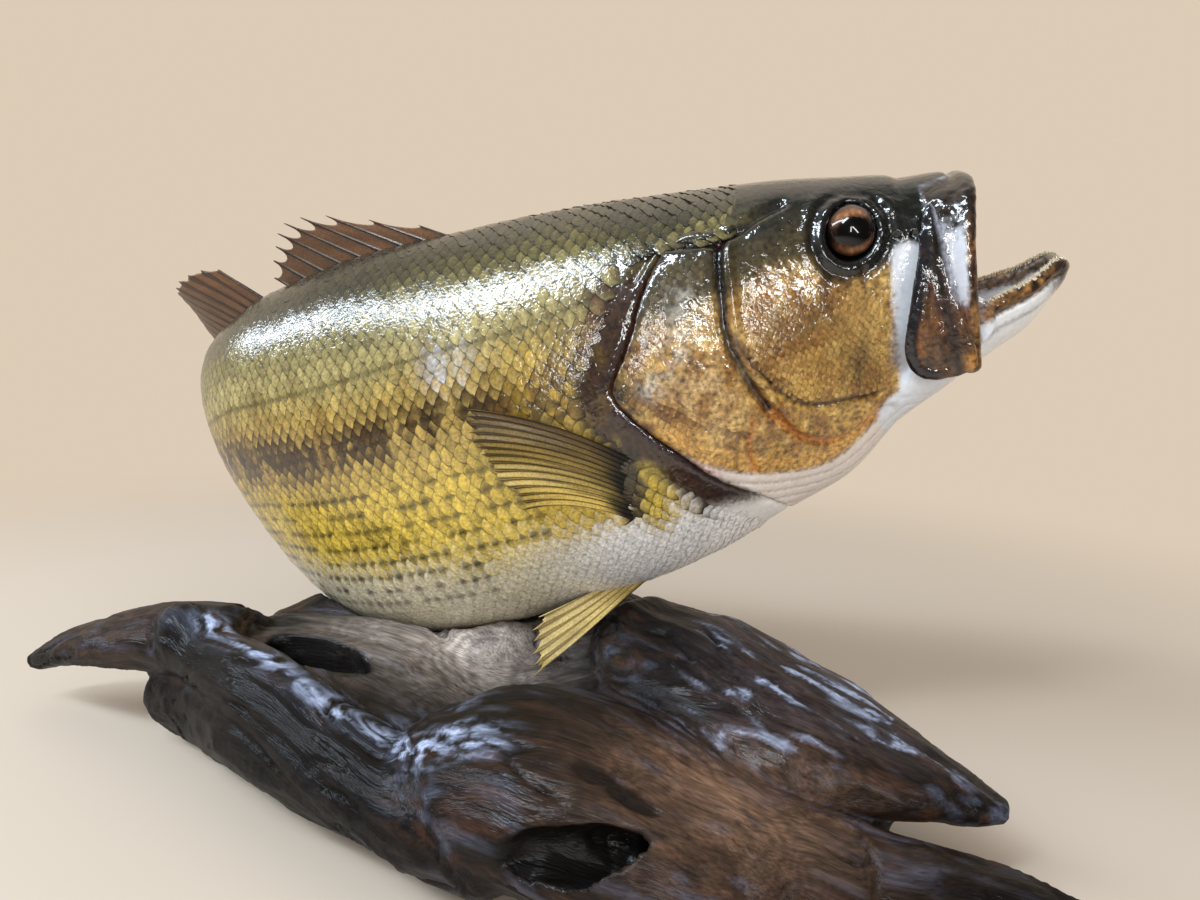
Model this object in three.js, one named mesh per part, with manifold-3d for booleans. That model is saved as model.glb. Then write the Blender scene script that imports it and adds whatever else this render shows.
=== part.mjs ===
// A mounted largemouth bass on its driftwood pedestal, at life size.
// Millimetres, +Z up. The fish heads towards +X and its tail curls away towards +Y.
// The origin is at the centre of the rectangle that the whole mount covers, on the floor.
//
// The fish is drawn straight first, by three numbers: `back`, the distance behind the tip of
// the snout, `side`, the distance to the fish's left, and `rise`, the height over its spine
// line. The spine then bends, climbs and banks, and carries every point with it.
import * as THREE from "three";
import { mergeVertices } from "three/addons/utils/BufferGeometryUtils.js";
import Module from "manifold-3d";

const wasm = await Module();
wasm.setup();

// ---- driving dimensions -------------------------------------------------------------
const GAP = 0.3;                 // clearance between neighbouring pieces
const BODY_LENGTH = 470;         // tip of the snout to the end of the tail stalk
const HEAD_END = 140;            // the skull doesn't bend in front of this
const EYE_BACK = 48.6;           // eye centre behind the snout
const EYE_RISE = 38.5;           // eye centre over the spine line
const EYE_SIDE = 18.5;           // eyeball centre off the mid-plane
const EYE_RADIUS = 10.4;
const SPINE_AT_EYE = new THREE.Vector3(101.3, 13.1, 199.3);
const RING_SIDES = 20;           // sides of a body section
const RING_STEP = 16;            // usual distance between body sections

// Smooth curve through a few named stations, without overshoot.
function track(keys) {
  const slopes = keys.map(([x, y], i) => {
    if (i === 0 || i === keys.length - 1) return 0;
    const before = (y - keys[i - 1][1]) / (x - keys[i - 1][0]);
    const after = (keys[i + 1][1] - y) / (keys[i + 1][0] - x);
    return before * after <= 0 ? 0 : (2 * before * after) / (before + after);
  });
  const end = keys.length - 1;
  slopes[0] = (keys[1][1] - keys[0][1]) / (keys[1][0] - keys[0][0]);
  slopes[end] = (keys[end][1] - keys[end - 1][1]) / (keys[end][0] - keys[end - 1][0]);
  return (x) => {
    if (x <= keys[0][0]) return keys[0][1];
    if (x >= keys[end][0]) return keys[end][1];
    const i = keys.findIndex((key) => key[0] > x) - 1;
    const [x0, y0] = keys[i];
    const [x1, y1] = keys[i + 1];
    const h = x1 - x0;
    const t = (x - x0) / h;
    const t2 = t * t;
    const t3 = t2 * t;
    return (2 * t3 - 3 * t2 + 1) * y0 + (t3 - 2 * t2 + t) * h * slopes[i]
      + (3 * t2 - 2 * t3) * y1 + (t3 - t2) * h * slopes[i + 1];
  };
}

// ---- pose: how the spine turns, climbs and banks, in degrees -------------------------
const TURN = track([[130, 12], [190, 18], [250, 27], [318, 40], [360, 56], [400, 77], [470, 110]]);
const CLIMB = track([[HEAD_END, 14], [190, 15], [250, 12], [320, 5], [400, -2], [470, -6]]);
const BANK = track([[60, 13], [190, 14], [260, 20], [330, 30], [390, 38], [470, 34]]);

// ---- the straight fish: outline and width at each station ----------------------------
const BACK_LINE = track([[0, 45], [3, 49], [14, 51], [27, 52], [31, 54], [46, 57], [73, 62],
  [100, 65], [150, 70], [200, 73], [240, 75], [300, 70], [340, 60], [400, 41], [430, 33],
  [470, 35]]);
const BELLY_LINE = track([[8, -14], [24, -22], [36, -34], [50, -52], [64, -63], [86, -72],
  [102, -79], [120, -86], [147, -93], [190, -99], [240, -106], [290, -109], [340, -100], [400, -54],
  [430, -30], [470, -35]]);
const HALF_WIDTH = track([[4, 17], [20, 22.5], [36, 26], [60, 33.5], [95, 43], [125, 48], [170, 53],
  [215, 56], [260, 55], [320, 49], [380, 34], [430, 18], [470, 9]]);
const WIDEST_RISE = track([[0, 10], [40, 8], [90, 0], [150, -12], [220, -16], [300, -24], [360, -20],
  [430, -2]]);
const ROOF_POWER = track([[20, 2.7], [80, 2.3], [150, 2.0], [300, 2.0], [470, 2.0]]);
const KEEL_POWER = track([[20, 2.0], [80, 1.9], [150, 2.2], [230, 2.5], [300, 2.9], [370, 2.8],
  [430, 2.0]]);
const GILL_COVER_LIFT = track([[90, 0], [120, 2.6], [150, 2.6]]);

// ---- frames along the spine -----------------------------------------------------------
const rad = THREE.MathUtils.degToRad;

function axesAt(back) {
  const turn = rad(TURN(back));
  const climb = rad(CLIMB(back));
  const bank = rad(BANK(back));
  const ahead = new THREE.Vector3(Math.cos(climb) * Math.cos(turn),
    -Math.cos(climb) * Math.sin(turn), Math.sin(climb));
  const level = new THREE.Vector3(Math.sin(turn), Math.cos(turn), 0);
  const upright = new THREE.Vector3().crossVectors(ahead, level);
  const left = level.clone().multiplyScalar(Math.cos(bank)).addScaledVector(upright, Math.sin(bank));
  const up = upright.multiplyScalar(Math.cos(bank)).addScaledVector(level, -Math.sin(bank));
  return { ahead, left, up };
}

const SPINE_STEP = 2;
const SPINE_START = -40;
const spine = buildSpine();

function buildSpine() {
  const points = [SPINE_AT_EYE.clone().addScaledVector(axesAt(0).ahead, EYE_BACK - SPINE_START)];
  for (let back = SPINE_START; back < BODY_LENGTH + 20; back += SPINE_STEP) {
    const { ahead } = axesAt(back + SPINE_STEP / 2);
    points.push(points.at(-1).clone().addScaledVector(ahead, -SPINE_STEP));
  }
  return points;
}

// The place in space of a point of the straight fish.
function place(back, side, rise) {
  const t = THREE.MathUtils.clamp((back - SPINE_START) / SPINE_STEP, 0, spine.length - 1.001);
  const i = Math.floor(t);
  const { ahead, left, up } = axesAt(back);
  const beyond = back - SPINE_START - t * SPINE_STEP;
  return spine[i].clone().lerp(spine[i + 1], t - i)
    .addScaledVector(ahead, -beyond).addScaledVector(left, side).addScaledVector(up, rise);
}

// The same for a point that follows the rigid head however far back it lies.
function headPlace(back, side, rise) {
  const { ahead, left, up } = axesAt(0);
  return SPINE_AT_EYE.clone().addScaledVector(ahead, EYE_BACK - back)
    .addScaledVector(left, side).addScaledVector(up, rise);
}

// ---- closed solids ----------------------------------------------------------------------
// Rings of points, joined side by side and capped at both ends.
function loft(rings) {
  const count = rings[0].length;
  const points = rings.flat();
  const faces = [];
  for (let r = 0; r + 1 < rings.length; r++) {
    for (let k = 0; k < count; k++) {
      const a = r * count + k;
      const b = r * count + ((k + 1) % count);
      faces.push([a, b, b + count], [a, b + count, a + count]);
    }
  }
  capRing(points, faces, 0, count, false);
  capRing(points, faces, (rings.length - 1) * count, count, true);
  return closed(points, faces);
}

function capRing(points, faces, first, count, flip) {
  const centre = new THREE.Vector3();
  for (let k = 0; k < count; k++) centre.addScaledVector(points[first + k], 1 / count);
  const hub = points.push(centre) - 1;
  for (let k = 0; k < count; k++) {
    const a = first + k;
    const b = first + ((k + 1) % count);
    faces.push(flip ? [a, b, hub] : [b, a, hub]);
  }
}

// An indexed closed mesh, turned outwards if its volume comes out negative.
function closed(points, faces) {
  let volume = 0;
  for (const [a, b, c] of faces) {
    volume += points[a].dot(new THREE.Vector3().crossVectors(points[b], points[c]));
  }
  const order = volume < 0 ? faces.map(([a, b, c]) => [a, c, b]) : faces;
  const geometry = new THREE.BufferGeometry();
  geometry.setAttribute("position",
    new THREE.Float32BufferAttribute(points.flatMap((p) => [p.x, p.y, p.z]), 3));
  geometry.setIndex(order.flat());
  return geometry;
}

function toSolid(geometry) {
  const bare = geometry.clone();
  bare.deleteAttribute("normal");
  bare.deleteAttribute("uv");
  const merged = mergeVertices(bare, 1e-4);
  return new wasm.Manifold(new wasm.Mesh({
    numProp: 3,
    vertProperties: new Float32Array(merged.getAttribute("position").array),
    triVerts: new Uint32Array(merged.index.array),
  }));
}

function toGeometry(solid) {
  const mesh = solid.getMesh();
  const geometry = new THREE.BufferGeometry();
  geometry.setAttribute("position", new THREE.BufferAttribute(new Float32Array(mesh.vertProperties), 3));
  geometry.setIndex(new THREE.BufferAttribute(new Uint32Array(mesh.triVerts), 1));
  return geometry;
}

// Carries every vertex of a geometry through `map` and closes it again.
function bent(geometry, map) {
  const bare = geometry.clone();
  bare.deleteAttribute("normal");
  bare.deleteAttribute("uv");
  const merged = mergeVertices(bare, 1e-4);
  const position = merged.getAttribute("position");
  const points = [];
  for (let i = 0; i < position.count; i++) {
    points.push(map(position.getX(i), position.getY(i), position.getZ(i)));
  }
  const faces = [];
  for (let i = 0; i < merged.index.count; i += 3) {
    faces.push(Array.from(merged.index.array.slice(i, i + 3)));
  }
  return closed(points, faces);
}

// A closed outline moved `by` outwards all round.
function grown(outline, by) {
  const count = outline.length;
  const area = outline.reduce((sum, [x, y], i) => {
    const [nextX, nextY] = outline[(i + 1) % count];
    return sum + x * nextY - nextX * y;
  }, 0);
  const normals = outline.map(([x, y], i) => {
    const [nextX, nextY] = outline[(i + 1) % count];
    const length = Math.hypot(nextX - x, nextY - y) * Math.sign(area);
    return [(nextY - y) / length, (x - nextX) / length];
  });
  return outline.map(([x, y], i) => {
    const a = normals[(i + count - 1) % count];
    const b = normals[i];
    const scale = by / Math.max(0.3, 1 + a[0] * b[0] + a[1] * b[1]);
    return [x + (a[0] + b[0]) * scale, y + (a[1] + b[1]) * scale];
  });
}

// A prism through the head: `outline` is drawn in (back, rise), from one side to another.
function headPrism(outline, from = -120, to = 120) {
  const shape = new THREE.Shape(outline.map(([back, rise]) => new THREE.Vector2(back, rise)));
  const geometry = new THREE.ExtrudeGeometry(shape, { depth: to - from, bevelEnabled: false });
  return toSolid(bent(geometry, (back, rise, depth) => headPlace(back, from + depth, rise)));
}

// ---- body ---------------------------------------------------------------------------------
// One section across the body, `grow` larger all round.
function bodyRing(back, grow = 0, lift = 0) {
  const level = WIDEST_RISE(back);
  const width = HALF_WIDTH(back) + grow + lift;
  const ring = [];
  for (let k = 0; k < RING_SIDES; k++) {
    const angle = (2 * Math.PI * k) / RING_SIDES;
    const cos = Math.cos(angle);
    const sin = Math.sin(angle);
    const power = 2 / (cos > 0 ? ROOF_POWER(back) : KEEL_POWER(back));
    const reach = cos > 0 ? BACK_LINE(back) + grow - level : level - BELLY_LINE(back) + grow;
    const side = width * Math.sign(sin) * Math.abs(sin) ** power;
    const rise = level + reach * Math.sign(cos) * Math.abs(cos) ** power;
    ring.push(place(back, side, rise));
  }
  return ring;
}

function bodyLength(from, to, { step = RING_STEP, grow = 0, lift = () => 0 } = {}) {
  const count = Math.max(1, Math.round((to - from) / step));
  const rings = [];
  for (let i = 0; i <= count; i++) {
    const back = from + ((to - from) * i) / count;
    rings.push(bodyRing(back, grow, lift(back)));
  }
  return loft(rings);
}

// A piece of the head: the head's own loft inside `outline`, less the cuts.
const HEAD_BACK = 150;

// ---- head cuts, drawn in (back, rise) -------------------------------------------------------
// The rear edge of the gill cover, from the nape round its flap and forward to the throat.
const GILL_SLIT = [[84, 95], [86, 62], [95, 51], [106, 54.5], [118, 47], [127, 33], [133.5, 19], [140, 9],
  [143, 3], [134, -12], [122, -27], [112, -41], [101, -51], [91, -64], [86, -78], [84, -110]];
// The groove between the cheek and the gill cover plate.
const CHEEK_GROOVE = [[95, 51], [96.5, 29], [97.5, 14], [94.5, 0], [92, -12]];
// The upper edge of the gill membranes under the cheek and the plate.
const MEMBRANE_EDGE = [[132, -14], [112, -25], [92, -30], [72, -35], [56, -31], [44, -36]];
const PLATE_DEPTH = 9;           // how far the gill cover plates reach in from the surface
const AHEAD_OF_HEAD = -60;

const headSolid = toSolid(bodyLength(7, HEAD_BACK, { step: 12, lift: GILL_COVER_LIFT }));
const headOutline = [[AHEAD_OF_HEAD, 95], ...GILL_SLIT, [AHEAD_OF_HEAD, -110]];
const headZone = headPrism(headOutline);

// The core of the head, inside the gill cover plates.
function headCore(inset) {
  const rings = [];
  for (let back = 60; back <= 160; back += 10) {
    rings.push(bodyRing(back, 0, GILL_COVER_LIFT(back) - inset));
  }
  return toSolid(loft(rings));
}

// ---- mouth ------------------------------------------------------------------------------------
const GAPE_RISE = track([[-5, 23], [20, 18], [45, 8], [75, 2]]);
const GAPE_HEIGHT = track([[-5, 27], [20, 24], [45, 17], [75, 8]]);
const GAPE_WIDTH = track([[-5, 21], [20, 22], [45, 19], [75, 9]]);
const MOUTH_SIDES = 10;

function mouthCavity() {
  const rings = [];
  for (let back = -5; back <= 75; back += 10) {
    const ring = [];
    for (let k = 0; k < MOUTH_SIDES; k++) {
      const angle = (2 * Math.PI * k) / MOUTH_SIDES;
      ring.push(place(back, GAPE_WIDTH(back) * Math.sin(angle),
        GAPE_RISE(back) + GAPE_HEIGHT(back) * Math.cos(angle)));
    }
    rings.push(ring);
  }
  return toSolid(loft(rings));
}

// The lower jaw: a scoop from its joint to its tip.
const JAW_JOINT = 46;
const JAW_TIP = -29;
const JAW_RIM = track([[JAW_TIP, 9], [-24, 11], [-14, 7], [0, 4], [12, 1], [24, -8], [36, -19],
  [JAW_JOINT, -27]]);
const JAW_KEEL = track([[JAW_TIP, 5], [-26, 0], [-20, -6], [-10, -15], [0, -20], [10, -25], [20, -31],
  [34, -38], [JAW_JOINT, -45]]);
const JAW_WIDTH = track([[JAW_TIP, 4], [-26, 8], [-18, 13], [-6, 18.5], [8, 22.5], [25, 25],
  [JAW_JOINT, 27.5]]);
const JAW_WALL = track([[JAW_TIP, 4], [-20, 5], [0, 5], [JAW_JOINT, 5]]);
const JAW_FLOOR = track([[JAW_TIP, 3], [-18, 6], [0, 7], [JAW_JOINT, 8]]);
const JAW_STEPS = 8;
const JAW_SIDES = 8;

// A section of the jaw: the outer curve down one side and up the other, then the trough back.
function jawRing(back, grow = 0, filled = false) {
  const rim = JAW_RIM(back) + grow;
  const width = JAW_WIDTH(back) + grow;
  const depth = rim - JAW_KEEL(back) + grow;
  const inWidth = width - JAW_WALL(back);
  const inDepth = depth - JAW_FLOOR(back);
  const ring = [];
  for (let k = 0; k <= JAW_SIDES; k++) {
    const angle = (Math.PI * k) / JAW_SIDES;
    ring.push(place(back, -width * Math.cos(angle), rim - depth * Math.sin(angle) ** 0.85));
  }
  for (let k = JAW_SIDES; k >= 0; k--) {
    const angle = (Math.PI * k) / JAW_SIDES;
    const drop = filled ? 0 : inDepth * Math.sin(angle) ** 0.8;
    ring.push(place(back, -inWidth * Math.cos(angle), rim - drop));
  }
  return ring;
}

function jawLoft(grow = 0, filled = false) {
  const rings = [];
  for (let i = 0; i <= JAW_STEPS; i++) {
    rings.push(jawRing(JAW_TIP + ((JAW_JOINT - JAW_TIP) * i) / JAW_STEPS, grow, filled));
  }
  return loft(rings);
}

// The upper lip: an arch from one corner of the mouth over the snout to the other.
const LIP_BACK = track([[-19, 10], [0, 9], [20, 7.5], [34, 6], [43, 3.5], [47, 2.5]]);
const LIP_STEPS = 13;
const LIP_HALF_SPAN = 27;
const LIP_FOOT = -18;
const LIP_CROWN = 46.5;
const LIP_DEPTH = 3.6;           // half its depth fore and aft
const LIP_THICK = 2.8;           // half its thickness across the arch
const LIP_SIDES = 6;

function lipCentre(t) {
  const angle = Math.PI * (t - 0.5);
  const side = LIP_HALF_SPAN * Math.sign(Math.sin(angle)) * Math.abs(Math.sin(angle)) ** 0.62;
  const rise = LIP_FOOT + (LIP_CROWN - LIP_FOOT) * Math.max(0, Math.cos(angle)) ** 0.5;
  return [LIP_BACK(rise) + LIP_DEPTH, side, rise];
}

function upperLip() {
  const rings = [];
  for (let i = 0; i <= LIP_STEPS; i++) {
    const t = i / LIP_STEPS;
    const [back, side, rise] = lipCentre(t);
    const [, sideA, riseA] = lipCentre(Math.max(0, t - 0.01));
    const [, sideB, riseB] = lipCentre(Math.min(1, t + 0.01));
    const along = Math.hypot(sideB - sideA, riseB - riseA);
    const ring = [];
    for (let k = 0; k < LIP_SIDES; k++) {
      const angle = (2 * Math.PI * k) / LIP_SIDES;
      const out = (LIP_THICK * Math.sin(angle)) / along;
      ring.push(place(back - LIP_DEPTH * Math.cos(angle), side - out * (riseB - riseA),
        rise + out * (sideB - sideA)));
    }
    rings.push(ring);
  }
  return loft(rings);
}

// The plate behind the upper lip on each side (the maxilla), drawn in (back, rise).
const MAXILLA = [[18.6, 38], [17.4, 20], [14.4, 0], [11.6, -12], [12.4, -18.5], [24, -20], [31, -19],
  [35.5, -15], [37, -9], [36.5, -3], [34.5, 4], [31.5, 14], [28, 24], [26, 31], [24, 38], [22, 43], [19, 43]];
const MAXILLA_THICK = 3;
const MAXILLA_BEVEL = 0.6;
const maxillaSide = (rise) => 30.2 - 0.0032 * (rise + 8) ** 2;

function maxilla(hand) {
  const shape = new THREE.Shape(MAXILLA.map(([back, rise]) => new THREE.Vector2(back, rise)));
  const plate = new THREE.ExtrudeGeometry(shape, {
    depth: MAXILLA_THICK - 2 * MAXILLA_BEVEL,
    bevelThickness: MAXILLA_BEVEL,
    bevelSize: MAXILLA_BEVEL,
    bevelOffset: -MAXILLA_BEVEL,
    bevelSegments: 1,
  });
  return bent(plate, (back, rise, out) =>
    place(back, hand * (maxillaSide(rise) + MAXILLA_BEVEL + out), rise));
}

function eyeball(hand, radius) {
  const ball = new THREE.SphereGeometry(radius, 12, 8);
  const centre = place(EYE_BACK, hand * EYE_SIDE, EYE_RISE);
  return toSolid(ball.translate(centre.x, centre.y, centre.z));
}

// ---- fins ---------------------------------------------------------------------------------------
// A fan of rays with skin between them. Each ray runs from `root` to `tip`, both as
// [back, side, rise]; `notch` is how far the skin's edge falls back between two tips, and
// `bow` bends every ray, in millimetres at its middle.
const FIN_ROWS = 2;

function finSurface(rays, notch, bow) {
  const columns = [];
  rays.forEach((ray, i) => {
    columns.push({ ...ray, thick: ray.thick, reach: 1 });
    const next = rays[i + 1];
    if (!next) return;
    const middle = (a, b) => a.map((value, axis) => (value + b[axis]) / 2);
    columns.push({ root: middle(ray.root, next.root), tip: middle(ray.tip, next.tip),
      thick: Math.min(ray.thick, next.thick) * 0.55, reach: 1 - notch });
  });
  return columns.map(({ root, tip, thick, reach }) => {
    const column = [];
    for (let j = 0; j <= FIN_ROWS; j++) {
      const t = (reach * j) / FIN_ROWS;
      const at = root.map((value, axis) => value + (tip[axis] - value) * t + 4 * t * (1 - t) * bow[axis]);
      column.push({ point: place(...at), half: Math.max(0.35, (thick / 2) * (1 - 0.55 * t)) });
    }
    return column;
  });
}

function fin(rays, { notch = 0.03, bow = [0, 0, 0] } = {}) {
  const grid = finSurface(rays, notch, bow);
  const wide = grid.length;
  const tall = FIN_ROWS + 1;
  const points = [];
  for (const sign of [1, -1]) {
    for (let i = 0; i < wide; i++) {
      for (let j = 0; j < tall; j++) {
        const before = grid[Math.max(i - 1, 0)][j].point;
        const across = grid[Math.min(i + 1, wide - 1)][j].point.clone().sub(before);
        const below = grid[i][Math.max(j - 1, 0)].point;
        const along = grid[i][Math.min(j + 1, tall - 1)].point.clone().sub(below);
        const normal = across.cross(along).normalize();
        points.push(grid[i][j].point.clone().addScaledVector(normal, sign * grid[i][j].half));
      }
    }
  }
  return toSolid(closed(points, sheetFaces(wide, tall)));
}

// Both faces and the rim of a sheet of `wide` by `tall` points.
function sheetFaces(wide, tall) {
  const faces = [];
  const other = wide * tall;
  const at = (i, j) => i * tall + j;
  for (let i = 0; i + 1 < wide; i++) {
    for (let j = 0; j + 1 < tall; j++) {
      const [a, b, c, d] = [at(i, j), at(i + 1, j), at(i + 1, j + 1), at(i, j + 1)];
      faces.push([a, b, c], [a, c, d]);
      faces.push([b + other, a + other, c + other], [c + other, a + other, d + other]);
    }
  }
  const rim = [];
  for (let i = 0; i < wide; i++) rim.push(at(i, 0));
  for (let j = 1; j < tall; j++) rim.push(at(wide - 1, j));
  for (let i = wide - 2; i >= 0; i--) rim.push(at(i, tall - 1));
  for (let j = tall - 2; j >= 1; j--) rim.push(at(0, j));
  rim.forEach((a, k) => {
    const b = rim[(k + 1) % rim.length];
    faces.push([b, a, a + other], [b, a + other, b + other]);
  });
  return faces;
}

const ROOT_SINK = 5;             // how deep a fin's rays start under the skin

// Rays along the back or belly, each leaning `lean` degrees towards the tail.
function keelRays(line, sign, from, to, lengths, leans, thick) {
  return lengths.map((length, i) => {
    const share = i / (lengths.length - 1);
    const back = from + (to - from) * share;
    const lean = rad(leans[0] + (leans[1] - leans[0]) * share);
    const rise = line(back) - sign * ROOT_SINK;
    const reach = length + ROOT_SINK;
    return { root: [back, 0, rise], thick,
      tip: [back + reach * Math.sin(lean), 0, rise + sign * reach * Math.cos(lean)] };
  });
}

const SPINE_LENGTHS = [18, 31, 41, 43, 41, 35, 27, 19, 9];
const SOFT_DORSAL_LENGTHS = [28, 39, 44, 45, 44, 42, 39, 35, 30];
const ANAL_LENGTHS = [16, 32, 41, 43, 41, 38, 34, 29, 25];

const spinyDorsalRays = () => keelRays(BACK_LINE, 1, 196, 288, SPINE_LENGTHS, [58, 50], 2.2);
const softDorsalRays = () => keelRays(BACK_LINE, 1, 307, 384, SOFT_DORSAL_LENGTHS, [48, 68], 1.6);
const analRays = () => keelRays(BELLY_LINE, -1, 330, 392, ANAL_LENGTHS, [52, 68], 1.6);

const TAIL_RAYS = 11;
const TAIL_SPREAD = 40;          // degrees above and below the middle ray
const TAIL_LENGTHS = [64, 92];   // middle and outer rays

function tailRays() {
  const rays = [];
  for (let i = 0; i < TAIL_RAYS; i++) {
    const u = (2 * i) / (TAIL_RAYS - 1) - 1;
    const angle = rad(TAIL_SPREAD * u);
    const length = TAIL_LENGTHS[0] + (TAIL_LENGTHS[1] - TAIL_LENGTHS[0]) * Math.abs(u) ** 1.6;
    const rootRise = 29 * u;
    const start = BODY_LENGTH - 8 - 4 * u * u;
    rays.push({ root: [start, 0, rootRise], thick: 1.7,
      tip: [start + length * Math.cos(angle), 0, rootRise + length * Math.sin(angle)] });
  }
  return rays;
}

// Rays fanned between a first and a last one, for the paired fins.
function pairedRays(hand, first, last, count, thick, swell) {
  const rays = [];
  for (let i = 0; i < count; i++) {
    const u = i / (count - 1);
    const mix = (a, b) => a.map((value, axis) => value + (b[axis] - value) * u);
    const root = mix(first.root, last.root);
    const tip = mix(first.tip, last.tip);
    const out = 1 + swell * Math.sin(Math.PI * u);
    const reach = tip.map((value, axis) => root[axis] + (value - root[axis]) * out);
    rays.push({
      root: [root[0], hand * root[1], root[2]],
      tip: [reach[0], hand * reach[1], reach[2]],
      thick,
    });
  }
  return rays;
}

const PECTORAL_FIRST = { root: [140, 48, -24], tip: [184, 69, 17] };
const PECTORAL_LAST = { root: [147, 46, -49], tip: [181, 65, -31] };
const PECTORAL_BOW = [0, 1, 3];
const PECTORAL_RAYS = 9;
const PELVIC_FIRST = { root: [150, 17, -86], tip: [205, 60, -108] };
const PELVIC_LAST = { root: [160, 13, -86], tip: [198, 52, -84] };
const PELVIC_RAYS = 6;
const handed = (hand, [x, y, z]) => [x, hand * y, z];
const pectoral = (hand) => fin(pairedRays(hand, PECTORAL_FIRST, PECTORAL_LAST, PECTORAL_RAYS, 1.6, 0.04),
  { notch: 0.05, bow: handed(hand, PECTORAL_BOW) });
const pelvic = (hand) => fin(pairedRays(hand, PELVIC_FIRST, PELVIC_LAST, PELVIC_RAYS, 2, 0.03),
  { notch: 0.06 });

// ---- driftwood ---------------------------------------------------------------------------------
// Every limb is a row of stations [x, y, z, half width, half height], joined by smooth curves.
const LIMBS = {
  arm: [[-266, 62, 25, 5, 4], [-246, 58, 33, 13, 9], [-218, 50, 41, 19, 12], [-190, 40, 48, 22, 15],
    [-160, 26, 50, 22, 18]],
  knob: [[-183, 26, 50, 9, 10], [-172, 22, 54, 15, 15], [-158, 14, 52, 14, 15]],
  ridge: [[-172, 20, 52, 12, 13], [-124, -18, 47, 16, 15], [-88, -44, 36, 19, 17], [-60, -62, 30, 20, 18],
    [-30, -76, 24, 18, 16]],
  block: [[-184, 40, 24, 20, 18], [-142, 34, 28, 44, 30], [-95, 14, 30, 64, 30], [-40, 0, 20, 76, 22],
    [20, -8, 25, 64, 27], [70, -22, 26, 42, 28], [100, -34, 22, 24, 19]],
  saddle: [[-150, 76, 38, 16, 12], [-110, 94, 44, 26, 19], [-75, 104, 48, 30, 21], [-40, 86, 50, 32, 22],
    [-5, 72, 50, 28, 21], [24, 58, 46, 24, 18]],
  backLimb: [[-34, 46, 32, 46, 31], [-70, 100, 25, 34, 25], [-98, 138, 15, 24, 19], [-112, 166, 9, 12, 11]],
  heel: [[0, 50, 32, 34, 24], [22, 88, 20, 26, 19], [42, 122, 12, 14, 14]],
  swirl: [[-50, -44, 34, 28, 22], [-18, -56, 37, 44, 30], [18, -66, 30, 46, 27], [58, -74, 22, 34, 19],
    [84, -76, 18, 24, 15]],
  fluke: [[22, 42, 54, 26, 20], [50, 10, 48, 44, 23], [80, -16, 41, 42, 21], [108, -34, 37, 30, 15],
    [132, -46, 33, 16, 9], [146, -52, 31, 6, 4]],
  toe: [[66, -70, 20, 24, 18], [100, -74, 16, 20, 14], [134, -76, 11, 16, 12], [162, -82, 7, 9, 8]],
};
const LIMB_SIDES = 9;
const LIMB_STEPS = 2;            // sections between two stations

function limb(stations, grow = 0) {
  const path = new THREE.CatmullRomCurve3(stations.map(([x, y, z]) => new THREE.Vector3(x, y, z)));
  const last = stations.length - 1;
  const across = track(stations.map((station, i) => [i / last, station[3]]));
  const tall = track(stations.map((station, i) => [i / last, station[4]]));
  const rings = [];
  for (let i = 0; i <= last * LIMB_STEPS; i++) {
    const t = i / (last * LIMB_STEPS);
    const centre = path.getPoint(t);
    const ahead = path.getTangent(t);
    const side = new THREE.Vector3().crossVectors(new THREE.Vector3(0, 0, 1), ahead).normalize();
    const up = new THREE.Vector3().crossVectors(ahead, side);
    const ring = [];
    for (let k = 0; k < LIMB_SIDES; k++) {
      const angle = (2 * Math.PI * k) / LIMB_SIDES;
      ring.push(centre.clone().addScaledVector(side, (across(t) + grow) * Math.cos(angle))
        .addScaledVector(up, (tall(t) + grow) * Math.sin(angle)));
    }
    rings.push(ring);
  }
  return toSolid(loft(rings));
}

function joined(names, grow = 0) {
  return names.map((name) => limb(LIMBS[name], grow)).reduce((sum, next) => sum.add(next));
}

// An ellipsoid with half sizes `size`, its long side turned about Z.
function pit([x, y, z], [a, b, c], turn = 0) {
  const ball = new THREE.SphereGeometry(1, 8, 6).scale(a, b, c).rotateZ(rad(turn)).translate(x, y, z);
  return toSolid(ball);
}

const FLOOR_SLAB = 200;
const WOOD_HOLES = [
  [[-112, 2, 60], [26, 9, 11], -30],
  [[-98, 22, 74], [9, 5, 8], -20],
  [[2, -100, 38], [30, 9, 9], 8],
];

// ---- the mount --------------------------------------------------------------------------------------
const COLOURS = {
  scales: 0x9c8c3c, head: 0x85602f, plate: 0x8c6232, white: 0xcfc8ba, lip: 0x6a4526, horn: 0x4a3020,
  eye: 0x6a3a1c, brownFin: 0x4a3524, yellowFin: 0xa08a3c, wood: 0x3a2a20,
};
const group = new THREE.Group();

function add(name, shape, colour, roughness = 0.35) {
  const material = new THREE.MeshStandardMaterial({ color: colour, roughness, metalness: 0 });
  const mesh = new THREE.Mesh(shape.isBufferGeometry ? shape : toGeometry(shape), material);
  mesh.name = name;
  group.add(mesh);
}

// Where the head ends in front, behind the arch of the upper lip.
const FACE_EDGE = [[10.2, 70], [10.2, 43], [13.8, 34], [15.3, 20], [17, 0], [18, -19], [20, -60],
  [-20, -60]];

// The side view of a gill cover plate, and of everything below the cheek.
const PLATE = [...CHEEK_GROOVE.toReversed(), [100, 57], ...GILL_SLIT.slice(3, 10), [132, -14], [112, -25]];
const UNDERSIDE = [...MEMBRANE_EDGE, [30, -40], [30, -120], [155, -120], [155, -20]];

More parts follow.
